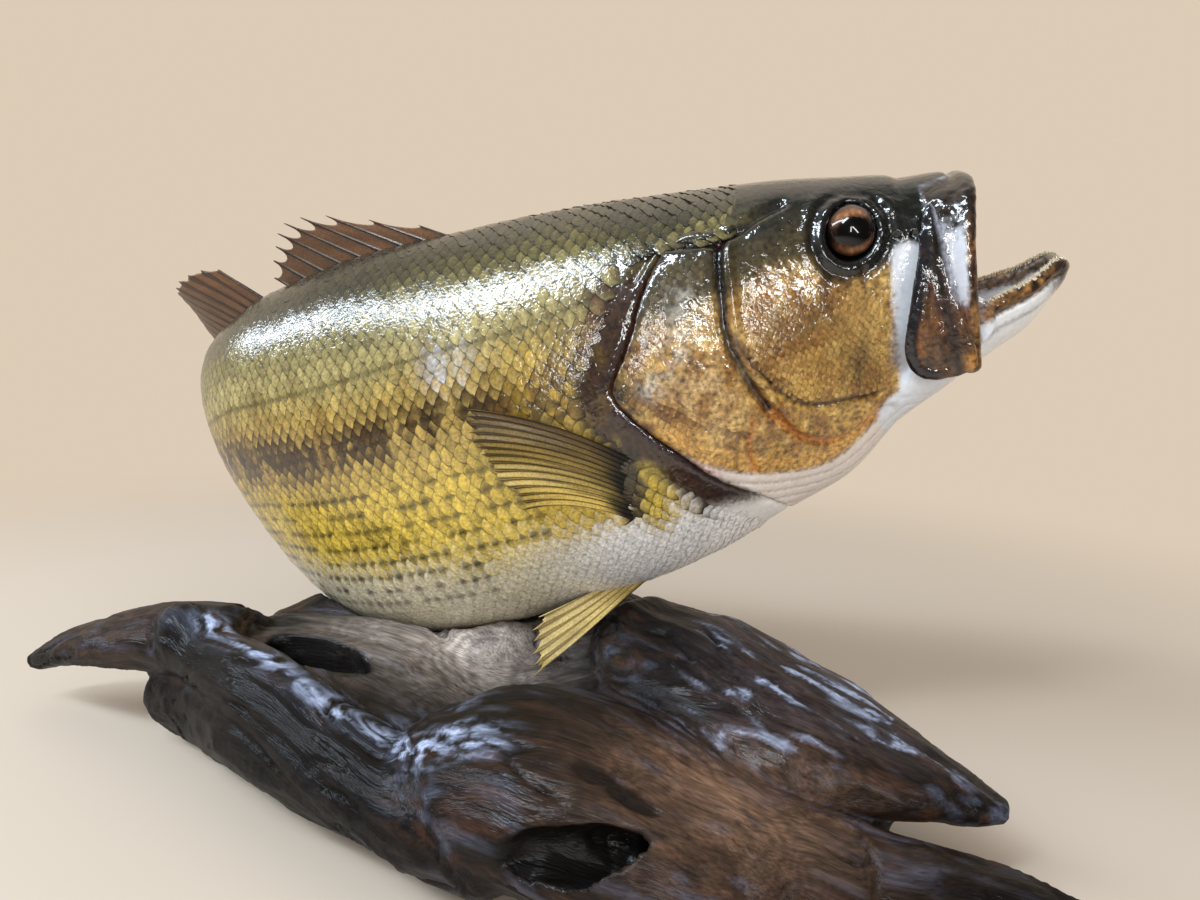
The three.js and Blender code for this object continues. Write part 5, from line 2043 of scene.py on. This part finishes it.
@dataclass(frozen=True)
class Limb:
    """One limb of wood: stations (x, y, z, half width, half height), in millimetres."""

    stations: tuple[Station, ...]

    def beads(self, spacing: float = 3.0) -> tuple[Array, Array, Array]:
        """Centres, axes (along, across, up) and half sizes of the beads that fill the limb.

        Args:
            spacing: Distance between beads.

        Returns:
            Centres, axes and half sizes.
        """
        given = np.array(self.stations, float)
        last = len(given) - 1
        t = np.linspace(0, last, 60 * last + 1)
        padded = np.vstack([2 * given[0] - given[1], given, 2 * given[-1] - given[-2]])[:, :3]
        i = np.minimum(t.astype(int), last - 1)
        f = (t - i)[:, None]
        p0, p1, p2, p3 = (padded[i + k] for k in range(4))
        path = 0.5 * (2 * p1 + (p2 - p0) * f + (2 * p0 - 5 * p1 + 4 * p2 - p3) * f**2
                      + (3 * p1 - p0 - 3 * p2 + p3) * f**3)
        run = np.concatenate([[0], np.cumsum(np.linalg.norm(np.diff(path, axis=0), axis=1))])
        at = np.linspace(0, run[-1], max(3, int(run[-1] / spacing)) + 1)
        centre = np.stack([np.interp(at, run, path[:, k]) for k in range(3)], -1)
        share = np.interp(at, run, t)
        wide = Track(tuple(enumerate(given[:, 3])))(share)
        tall = Track(tuple(enumerate(given[:, 4])))(share)
        along = np.gradient(centre, axis=0)
        along /= np.linalg.norm(along, axis=1, keepdims=True)
        across = np.cross((0, 0, 1.0), along)
        across /= np.linalg.norm(across, axis=1, keepdims=True)
        up = np.cross(along, across)
        return (centre, np.stack([along, across, up], 1),
                np.stack([0.8 * np.minimum(wide, tall), wide, tall], -1))


@dataclass(frozen=True)
class Wear:
    """What age did to the wood: grain, ridges, cracks, knots and old faces, by point, and the
    painted shade in its holes.
    """

    grain: Array
    ridges: Array
    crack: Array
    painted_hole_shade: Array
    knots: Array
    old: Array
    dome: Array
    turned: Array

    def relief(self, points: Array) -> Array:
        """How far each point moves outwards, in millimetres.

        Args:
            points: The points.

        Returns:
            The moves.
        """
        free = ease(1.0, 5.0, points[:, 2])
        fine = 1 - 2 * np.abs(layered(self.grain, 3.6, 13, 2))
        lumps = layered(points, 26.0, 7, 2)
        swirl = np.sin(26 * layered(self.turned * (1, 1, 0.6), 40.0, 31, 2))
        return (free * (1.3 * self.ridges + (0.45 + 0.3 * self.dome) * fine + 1.3 * lumps - 1.2
                        - 1.6 * self.crack - 1.3 * self.knots
                        + 0.35 * swirl * np.maximum(self.old, self.dome)))


@dataclass(frozen=True)
class Driftwood:
    """The pedestal of old root wood under the fish."""

    limbs: tuple[Limb, ...] = (
        Limb(((-266, 62, 25, 5, 4), (-246, 58, 33, 13, 9), (-218, 50, 41, 19, 12),
              (-190, 40, 48, 22, 15), (-160, 26, 50, 22, 18))),
        Limb(((-183, 26, 50, 9, 10), (-172, 22, 54, 15, 15), (-158, 14, 52, 14, 15))),
        Limb(((-172, 20, 52, 12, 13), (-124, -18, 47, 16, 15), (-88, -44, 36, 19, 17),
              (-60, -62, 30, 20, 18), (-30, -76, 24, 18, 16))),
        Limb(((-184, 40, 24, 20, 18), (-142, 34, 28, 44, 30), (-95, 14, 30, 64, 30),
              (-40, 0, 20, 76, 22), (20, -8, 25, 64, 27), (70, -22, 26, 42, 28),
              (100, -34, 22, 24, 19))),
        Limb(((-150, 76, 38, 16, 12), (-110, 94, 44, 26, 19), (-75, 104, 48, 30, 21),
              (-40, 86, 50, 32, 22), (-5, 72, 50, 28, 21), (24, 58, 46, 24, 18))),
        Limb(((-34, 46, 32, 46, 31), (-70, 100, 25, 34, 25), (-98, 138, 15, 24, 19),
              (-112, 166, 9, 12, 11))),
        Limb(((0, 50, 32, 34, 24), (22, 88, 20, 26, 19), (42, 122, 12, 14, 14))),
        Limb(((-50, -44, 34, 28, 22), (-18, -56, 37, 44, 30), (18, -66, 30, 46, 27),
              (58, -74, 22, 34, 19), (84, -76, 18, 24, 15))),
        Limb(((22, 42, 54, 26, 20), (50, 10, 48, 44, 23), (80, -16, 41, 42, 21),
              (108, -34, 37, 30, 15), (132, -46, 33, 16, 9), (146, -52, 31, 6, 4))),
        Limb(((66, -70, 20, 24, 18), (100, -74, 16, 20, 14), (134, -76, 11, 16, 12),
              (162, -82, 7, 9, 8))),
    )
    holes: tuple[tuple[tuple[float, ...], tuple[float, ...], float], ...] = (
        ((-112, 2, 56), (27, 10, 22), -30), ((-98, 22, 72), (9, 5, 10), -20),
        ((2, -100, 38), (30, 9, 9), 8))
    knots: tuple[tuple[tuple[float, float], tuple[float, float], float], ...] = (
        ((3, -88), (8, 3.2), -14), ((14, -93), (9, 2.8), -16))
    step: float = 1.5
    clear_of_fish: float = 1.0
    most_triangles: int = 190_000

    def grain(self, points: Array) -> Array:
        """Coordinates across, over and (pressed together) along the limbs, for grooves.

        Args:
            points: The points.

        Returns:
            The coordinates.
        """
        total = np.zeros_like(points)
        weight = np.zeros(len(points))
        for limb in self.limbs:
            centre, axes, sizes = limb.beads(8.0)
            run = np.concatenate([[0], np.cumsum(np.linalg.norm(np.diff(centre, axis=0), axis=1))])
            own, own_weight = np.zeros_like(points), np.full(len(points), 1e-12)
            for at, c, a, s in zip(run, centre, axes, sizes):
                off = (points - c) @ a.T
                far = np.sqrt(((off / s) ** 2).sum(1)) - 1
                share = np.exp(-6 * np.clip(far, -0.8, 3))
                run_on = 0.13 * (at + off[:, 0])
                own += share[:, None] * np.stack([off[:, 1], off[:, 2], run_on], -1)
                own_weight += share
            total += own * own_weight[:, None]
            weight += own_weight**2
        return total / np.maximum(weight, 1e-20)[:, None]

    def field(self, x: Array, y: Array, z: Array) -> Array:
        """Distance to the wood's surface on a grid, negative inside.

        Args:
            x: Places along x.
            y: Places along y.
            z: Places along z.

        Returns:
            The distances.
        """
        out = np.full((len(x), len(y), len(z)), 3.0, np.float32)
        lines = (x, y, z)
        for limb in self.limbs:
            own = np.full(out.shape, 3.0, np.float32)
            centre, axes, sizes = limb.beads()
            for c, a, s in zip(centre, axes, sizes):
                reach = np.abs(a.T) @ s + 4
                cut = tuple(slice(*np.searchsorted(line, (c[k] - reach[k], c[k] + reach[k])))
                            for k, line in enumerate(lines))
                gx, gy, gz = (line[part] - c[k] for k, (line, part) in enumerate(zip(lines, cut)))
                gx, gy, gz = gx[:, None, None], gy[None, :, None], gz[None, None, :]
                parts = [(gx * a[k, 0] + gy * a[k, 1] + gz * a[k, 2]) / s[k] for k in range(3)]
                root = np.sqrt(sum(p * p for p in parts)) + 1e-5
                slope = np.sqrt(sum((p / s[k]) ** 2 for k, p in enumerate(parts))) / root
                own[cut] = np.minimum(own[cut], (root - 1) / np.maximum(slope, 1e-3))
            out = soft_min(out, own, 2.5)
        for (cx, cy, cz), (a, b, c), turn in self.holes:
            u, v = swung(x[:, None, None] - cx, y[None, :, None] - cy, turn)
            u, v, w = u / a, v / b, (z[None, None, :] - cz) / c
            root = np.sqrt(u * u + v * v + w * w) + 1e-5
            slope = np.sqrt((u / a) ** 2 + (v / b) ** 2 + (w / c) ** 2) / root
            hole = (root - 1) / np.maximum(slope, 1e-3)
            out = soft_max(out, -hole, 2.0)
        return out

    def fish_room(self, x: Array, y: Array, z: Array, shift: Array) -> Array:
        """Distance to the fish's belly on the grid, on a coarse mesh of points.

        Args:
            x: Places along x.
            y: Places along y.
            z: Places along z.
            shift: The frame's shift, in metres.

        Returns:
            The distances.
        """
        coarse = [line[::4] for line in (x, y, z)]
        grid = np.stack(np.meshgrid(*coarse, indexing="ij"), -1)
        far = np.full(grid.shape[:3], 30.0)
        near = grid[..., 2] > 12
        back, side, rise = POSE.unplace(grid[near] * MM + shift)
        far[near] = BODY.distance(back, side, rise)
        for axis, (line, few) in enumerate(zip((x, y, z), coarse)):
            at = np.clip((line - few[0]) / (few[1] - few[0]), 0, len(few) - 1.001)
            low = at.astype(int)
            share = (at - low).reshape([-1 if k == axis else 1 for k in range(3)])
            far = np.take(far, low, axis) * (1 - share) + np.take(far, low + 1, axis) * share
        return far

    def carved(self, shift: Array) -> tuple[Array, Array]:
        """Points and faces of the bare limbs, with room for the fish and a flat foot.

        Args:
            shift: The frame's shift, in metres.

        Returns:
            Points and faces.
        """
        x = np.arange(-276, 176, self.step)
        y = np.arange(-118, 186, self.step)
        z = np.arange(-3.0, 84, self.step)
        wood = self.field(x, y, z)
        wood = soft_max(wood, self.clear_of_fish - self.fish_room(x, y, z, shift), 1.0)
        wood = np.maximum(wood, 0.02 - z[None, None, :])
        return biggest_part(*surface_of(wood, (x, y, z)))

    def weather(self, points: Array) -> Wear:
        """What age did to the wood at each point, and where shade is painted in its holes.

        Args:
            points: The points.

        Returns:
            The wear.
        """
        grain = self.grain(points) + 5.0 * waves(points, 34.0, 21)
        painted_hole_shade, knots = np.zeros(len(points)), np.zeros(len(points))
        for centre, (a, b, c), turn in self.holes:
            dx, dy, dz = (points - centre).T
            u, v = swung(dx, dy, turn)
            root = np.sqrt((u / a) ** 2 + (v / b) ** 2 + (dz / c) ** 2)
            painted_hole_shade = np.maximum(painted_hole_shade, ease(1.16, 1.0, root))
        for centre, (a, b), turn in self.knots:
            u, v = swung(*(points[:, :2] - centre).T, turn)
            root = np.hypot(u / a, v / b)
            knots = np.maximum(knots, ease(1.25, 0.85, root) * ease(30, 36, points[:, 2]))
        ridges = 1 - 2 * np.abs(layered(grain, 10.0, 3, 2))
        crack = bell(noise(grain, 8.0, 17), 0, 0.07) * ease(0.0, 0.4, noise(points, 22.0, 18))
        return Wear(grain, ridges, crack, painted_hole_shade, knots,
                    old=mound(points, (-66, 34, 48), (46, 34, 30)),
                    dome=mound(points, (42, -76, 38), (46, 26, 28)),
                    turned=points + 6.0 * waves(points, 12.0, 61))

    def paint(self, points: Array, wear: Wear) -> Array:
        """Colours of the wood: nearly black, with painted highlights on its ridges, tops and fluke,
        painted shade low down and in its holes, and pale, ringed old faces.

        Args:
            points: The points.
            wear: What age did to the wood.

        Returns:
            The colours.
        """
        streaks = layered(wear.grain, 3.4, 43, 3)
        top = ease(8, 30, points[:, 2])
        spray = Spray((9, 6, 5), points.shape)
        # The streaks fade low down: painted shade on the wood's lower sides.
        spray((60, 38, 27), ease(-0.1, 0.7, streaks) * (0.25 + 0.5 * top))
        blue = layered(wear.grain, 4.2, 44, 2)
        thread = np.clip(0.5 + 0.9 * layered(wear.grain, 1.8, 47, 2), 0, 1)
        fluke = ease(20, 60, points[:, 0]) * ease(-62, -40, points[:, 1]) * top
        spray((92, 80, 84), 0.3 * fluke * thread)
        spray((104, 78, 66), 0.3 * ease(-186, -204, points[:, 0]) * thread)
        # Painted bluish highlights on the tops of the wood.
        spray((84, 90, 108), ease(0.05, 0.6, blue) * top * 0.35)
        # Painted bluish-white highlights on the fluke, in part its own grey-blue streaks.
        spray((158, 168, 192), ease(0.05, 0.35, blue) * fluke * 0.85
              * ease(-0.2, 0.3, layered(wear.grain, 2.0, 49, 2)))
        # Painted highlight along the crest of the third limb and over the middle of the block.
        crest = np.array(self.limbs[2].stations)[:, :2]
        ridge = bell(line_distance(crest, points[:, 0], points[:, 1]), 0, 5)
        ridge *= ease(38, 50, points[:, 2]) * ease(-172, -158, points[:, 0])
        middle = mound(points, (-54, -52, 38), (26, 18, 24))
        fibre = ease(-0.15, 0.35, layered(wear.grain, 2.0, 48, 2))
        painted_sheen = (np.clip(1.2 * ridge * ease(-0.7, 0.1, blue)
                          + 0.75 * middle * ease(-0.4, 0.4, blue), 0, 1) * fibre)
        spray((178, 190, 220), painted_sheen * 0.85)
        rings = np.sin(60 * layered(wear.turned * (1, 1, 0.6), 40.0, 31, 2))
        spray((134, 102, 80), wear.dome * (0.4 + 0.14 * rings + 0.42 * thread))
        spray((206, 190, 178), wear.old * (0.5 + 0.16 * rings + 0.34 * thread))
        past = points[:, 1] - np.interp(points[:, 0], crest[:, 0], crest[:, 1])
        shade = (ease(-50, -80, points[:, 0]) * np.maximum(ease(-6, -13, past),
                                                           ease(42, 32, points[:, 2])))
        spray((4, 2, 2), shade * 0.92)
        dark = np.clip(wear.crack + ease(0.2, -0.5, wear.ridges) * 0.5, 0, 1)
        spray((10, 7, 6), dark * 0.85)
        spray((20, 13, 9), wear.knots * 0.9)
        # Painted shade inside the holes.
        spray((7, 5, 4), wear.painted_hole_shade * 0.95)
        return spray.colours

    def build(self, shift: Array) -> Thing:
        """Makes the wood under the fish.

        Args:
            shift: The frame's shift, in metres.

        Returns:
            The piece.
        """
        points, faces = self.carved(shift)
        wear = self.weather(points)
        points = points + point_normals(points, faces) * wear.relief(points)[:, None]
        piece = new_object("driftwood", points * MM + shift, faces)
        set_colour(piece.data, self.paint(points, wear))
        set_value(piece.data, "grain", wear.grain)
        decimated(piece, self.most_triangles)
        finish = Finish("driftwood", coat=0.25, rough=0.65, coat_rough=0.1, bump=0.6, grain=1.1,
                        detail=6.0, mottle=0.5, coat_index=1.5, base_shine=0.08, follow="grain")
        piece.data.materials.append(finish.material())
        stands_for(piece, "driftwood", "driftwood_block", "driftwood_arm", "driftwood_swirl",
                   "driftwood_fluke")
        return piece


def biggest_part(points: Array, faces: Array) -> tuple[Array, Array]:
    """The largest connected part of a mesh of four-sided faces.

    Args:
        points: The points.
        faces: The faces, by point numbers.

    Returns:
        Its points and faces.
    """
    label = np.arange(len(points))
    while True:
        low = label[faces].min(1)
        new = label.copy()
        for k in range(4):
            np.minimum.at(new, faces[:, k], low)
        new = new[new]
        if (new == label).all():
            break
        label = new
    names, counts = np.unique(label, return_counts=True)
    keep = label == names[counts.argmax()]
    index = np.cumsum(keep) - 1
    return points[keep], index[faces[keep[faces[:, 0]]]]


# ---- eyes -----------------------------------------------------------------------------------
@dataclass(frozen=True)
class Eye:
    """A glass eye: a painted ball with a clear varnish, turned to the side."""

    hand: int
    radius: float = 10.3
    rings: int = 64
    sides: int = 96
    iris: float = 8.6

    def paint(self, across: Array, up: Array) -> Array:
        """Colours over the iris, by the distance ahead of and over its middle.

        Args:
            across: Distances ahead of the middle.
            up: Distances over the middle.

        Returns:
            The colours.
        """
        spot = spots(across, up, np.zeros_like(up))
        across, up = across - 0.7, up - 1.0
        far = np.hypot(across, up)
        pupil = np.hypot((across - 0.2 * np.clip(across, 0, 9)), up) - 5.1
        turn = np.stack([across / (far + 1e-6) * 6, up / (far + 1e-6) * 6, far * 0.5], -1)
        flecks = layered(turn, 1.0, 5, 2) + 0.5 * noise(spot, 0.7, 9)
        spray = Spray((126, 84, 54), spot.shape)
        spray((172, 128, 92), ease(0.0, 0.7, flecks) * 0.7)
        spray((88, 48, 28), ease(0.0, 0.8, -flecks) * 0.7)
        spray((48, 26, 18), ease(6.8, 8.2, far) * 0.85)
        spray((60, 32, 20), bell(pupil, 0.3, 0.5) * 0.7)
        shade = bell(up, 0, 4.8, 4) * ease(1.5, 3.6, np.abs(across))
        spray((12, 8, 8), shade * 0.97)
        spray((4, 4, 5), ease(0.2, -0.05, pupil))
        spray((8, 8, 8), ease(self.iris - 0.3, self.iris + 0.3, far))
        return spray.colours

    def build(self) -> Thing:
        """Makes the eye and puts it in its socket.

        Returns:
            The piece.
        """
        angle = np.linspace(0, np.pi, self.rings)
        turn = np.linspace(0, 2 * np.pi, self.sides, endpoint=False)
        out = self.radius * np.cos(angle)[:, None] + 0 * turn
        across = self.radius * np.sin(angle)[:, None] * np.cos(turn)
        up = self.radius * np.sin(angle)[:, None] * np.sin(turn)
        back, side = POSE.eye_back - across, self.hand * (POSE.eye_side + out)
        points = np.stack([back, side, POSE.eye_rise + up], -1)[1:-1].reshape(-1, 3)
        poles = [[POSE.eye_back, self.hand * (POSE.eye_side + s * self.radius), POSE.eye_rise]
                 for s in (1, -1)]
        count, last = self.sides, (self.rings - 3) * self.sides
        faces = [[r * count + k, r * count + (k + 1) % count, (r + 1) * count + (k + 1) % count,
                  (r + 1) * count + k] for r in range(self.rings - 3) for k in range(count)]
        front, rear = len(points), len(points) + 1
        points = np.vstack([points, poles])
        caps = [[front, k + 1 if k + 1 < count else 0, k, k] for k in range(count)]
        caps += [[rear, last + k, last + (k + 1) % count, last + k] for k in range(count)]
        placed = POSE.place(*points.T)
        whole = [tuple(f) for f in faces] + [tuple(c[:3]) for c in caps]
        mesh = bpy.data.meshes.new(f"glass_eye_{'left' if self.hand > 0 else 'right'}")
        mesh.from_pydata(placed.tolist(), [], [f[::-1] if self.hand > 0 else f for f in whole])
        mesh.polygons.foreach_set("use_smooth", np.full(len(mesh.polygons), True))
        set_colour(mesh, self.paint(POSE.eye_back - points[:, 0], points[:, 2] - POSE.eye_rise))
        eye = linked(mesh.name, mesh)
        mesh.materials.append(Finish("eye_glass", coat=1.0, rough=0.3, coat_rough=0.01, bump=0.0,
                                     grain=4000.0, coat_index=1.5, base_shine=0.05).material())
        stands_for(eye, "glass_eye", "eye_left" if self.hand > 0 else "eye_right")
        return eye


# ---- studio ---------------------------------------------------------------------------------
@dataclass(frozen=True)
class Lamp:
    """A soft lamp: place and aim in metres, size in metres, power in watts."""

    place: Place
    aim: Place
    size: tuple[float, float]
    power: float
    along: Place = (1.0, 0.0, 0.0)
    colour: Place = (1.0, 1.0, 1.0)

    def build(self) -> None:
        """Hangs the lamp."""
        data = bpy.data.lights.new("lamp", "AREA")
        data.color = self.colour
        data.shape, data.energy = "RECTANGLE", self.power
        data.size, data.size_y = self.size
        lamp = linked("lamp", data)
        z = (Vector(self.place) - Vector(self.aim)).normalized()
        x = Vector(self.along)
        x = (x - x.dot(z) * z).normalized()
        y = z.cross(x)
        lamp.matrix_world = Matrix.Translation(self.place) @ Matrix((x, y, z)).transposed().to_4x4()


@dataclass(frozen=True)
class Studio:
    """Camera, floor, backdrop and lamps."""

    camera_at: Place = (0.0, -350.0, 195.0)
    pitch: float = 8.0
    roll: float = 2.3
    lens: float = 27.03
    backdrop: Place = (0.72, 0.60, 0.47)
    floor_colour: Place = (0.56, 0.47, 0.38)
    room_colour: Place = (0.80, 0.78, 0.75)
    room_level: float = 0.72
    floor_reach: float = 6.0
    dim_room: float = 0.10
    fade_from: float = 0.30
    fade_to: float = 0.80
    lamps: tuple[Lamp, ...] = (
        Lamp((-0.951, -0.456, 0.892), (-0.01, -0.08, 0.15), (1.6, 0.16), 17.0, (0.90, -1.10, 0.66),
             (0.78, 0.89, 1.0)),
        Lamp((-0.44, -0.89, 1.08), (0.05, -0.11, 0.213), (0.62, 0.17), 9.0, (0.80, 0.16, 0.61),
             (0.78, 0.89, 1.0)),
        Lamp((0.38, -1.32, 0.34), (0.1, -0.12, 0.22), (0.74, 0.08), 4.4, (0.52, 0.06, -0.49)),
        Lamp((0.0, -1.38, 0.36), (0.06, -0.13, 0.2), (0.45, 0.10), 2.6, (0.0, 0.1, 1.0)),
        Lamp((0.3, 0.2, 1.6), (0.05, -0.1, 0.1), (2.0, 1.4), 2.2),
    )

    def camera(self, shift: Array) -> None:
        """Sets the camera up for the given shift of the frame, in metres.

        Args:
            shift: The frame's shift, in metres.
        """
        tilt, roll = math.radians(self.pitch), math.radians(self.roll)
        look = np.array([0, math.cos(tilt), -math.sin(tilt)])
        right = np.array([1.0, 0, 0])
        up = np.cross(right, look)
        right, up = (math.cos(roll) * right + math.sin(roll) * up,
                     -math.sin(roll) * right + math.cos(roll) * up)
        data = bpy.data.cameras.new("camera")
        data.lens, data.sensor_width = self.lens, 36.0
        data.clip_start, data.clip_end = 0.01, 50.0
        camera = linked("camera", data)
        at = np.array(self.camera_at) * MM + shift
        matrix = np.eye(4)
        matrix[:3, 0], matrix[:3, 1], matrix[:3, 2], matrix[:3, 3] = right, up, -look, at
        camera.matrix_world = Matrix(matrix.tolist())
        bpy.context.scene.camera = camera

    @staticmethod
    def seen(nodes: Wiring) -> Socket:
        """One for rays that see the backdrop itself: from the camera, off gloss or through glass.

        Args:
            nodes: The material's or the world's wiring.

        Returns:
            The output that says so.
        """
        path = nodes.add("ShaderNodeLightPath").outputs
        total = path["Is Camera Ray"]
        for name in ("Is Glossy Ray", "Is Transmission Ray"):
            total = nodes.out("ShaderNodeMath", "Value", {0: total, 1: path[name]}, operation="ADD",
                              use_clamp=True)
        return total

    def room(self, nodes: Wiring, place: Socket) -> Socket:
        """The backdrop's colour, which falls off to a dim room behind the camera for reflections.

        Args:
            nodes: The material's or the world's wiring.
            place: Where the ray meets the room.

        Returns:
            The colour's output.
        """
        depth = nodes.out("ShaderNodeSeparateXYZ", "Y", {0: place})
        bright = nodes.out("ShaderNodeMapRange", "Result",
                           {"Value": depth, "From Min": -0.4, "From Max": 0.4,
                            "To Min": self.dim_room}, interpolation_type="SMOOTHSTEP")
        camera = nodes.out("ShaderNodeLightPath", "Is Camera Ray")
        level = nodes.out("ShaderNodeMath", "Value", {0: bright, 1: camera}, operation="MAXIMUM")
        return nodes.out("ShaderNodeVectorMath", "Vector", {0: self.backdrop, "Scale": level},
                         operation="SCALE")

    def fade(self, tree: bpy.types.NodeTree) -> None:
        """Lets the floor run out into the backdrop's colour, away from the model and its shadow.

        Args:
            tree: The floor's material.
        """
        nodes = Wiring(tree)
        place = nodes.out("ShaderNodeTexCoord", "Object")
        far = nodes.out("ShaderNodeVectorMath", "Value", {0: place}, operation="LENGTH")
        share = nodes.out("ShaderNodeMapRange", "Result",
                          {"Value": far, "From Min": self.fade_from, "From Max": self.fade_to},
                          interpolation_type="SMOOTHSTEP")
        both = nodes.out("ShaderNodeMath", "Value", {0: share, 1: self.seen(nodes)},
                         operation="MULTIPLY")
        plain = nodes.out("ShaderNodeEmission", "Emission", {"Color": self.room(nodes, place)})
        floor = tree.nodes["Principled BSDF"].outputs["BSDF"]
        mixed = nodes.out("ShaderNodeMixShader", "Shader", {"Fac": both, 1: floor, 2: plain})
        nodes.fill(tree.nodes["Material Output"], {"Surface": mixed})

    def build(self) -> None:
        """Lays the floor, lights the backdrop and hangs the lamps."""
        reach = self.floor_reach
        corners = np.array([(-reach, -reach, 0), (reach, -reach, 0), (reach, reach, 0),
                            (-reach, reach, 0)])
        floor = new_object("floor", corners, [[0, 1, 2, 3]])
        pale = plain_finish("floor", self.floor_colour, 0.8, 0.0)
        self.fade(pale.node_tree)
        floor.data.materials.append(pale)
        for lamp in self.lamps:
            lamp.build()
        world = bpy.data.worlds.new("backdrop")
        world.use_nodes = True
        tree = world.node_tree
        nodes, light = Wiring(tree), tree.nodes["Background"]
        nodes.fill(light, {"Color": (*self.room_colour, 1), "Strength": self.room_level})
        room = self.room(nodes, nodes.out("ShaderNodeTexCoord", "Generated"))
        seen = nodes.out("ShaderNodeBackground", "Background", {"Color": room})
        mixed = nodes.out("ShaderNodeMixShader", "Shader",
                          {"Fac": self.seen(nodes), 1: light.outputs["Background"], 2: seen})
        nodes.fill(tree.nodes["World Output"], {"Surface": mixed})
        bpy.context.scene.world = world
        bpy.context.scene.view_settings.view_transform = "Standard"


def frame_shift() -> Array:
    """How far the frame's origin lies from the pose's own, in metres.

    Returns:
        The shift.
    """
    low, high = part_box("eye_right")
    own = np.array([101.3, 13.1, 199.3])
    _, left, up = POSE.axes(np.array(POSE.eye_back))
    eye = own - POSE.eye_side * left + POSE.eye_rise * up
    return (np.array(low) + np.array(high)) / 2 - eye * MM


def main() -> None:
    """Builds the mount piece by piece."""
    logging.basicConfig(level=logging.INFO, format="%(message)s")
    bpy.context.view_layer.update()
    shift = frame_shift()
    Skin().build()
    Coat().build()
    for fin in all_fins():
        fin.build()
    for hand in (-1, 1):
        Eye(hand).build()
    Teeth().build()
    Driftwood().build(shift)
    studio = Studio()
    studio.build()
    studio.camera(shift)


if __name__ == "__main__":
    main()
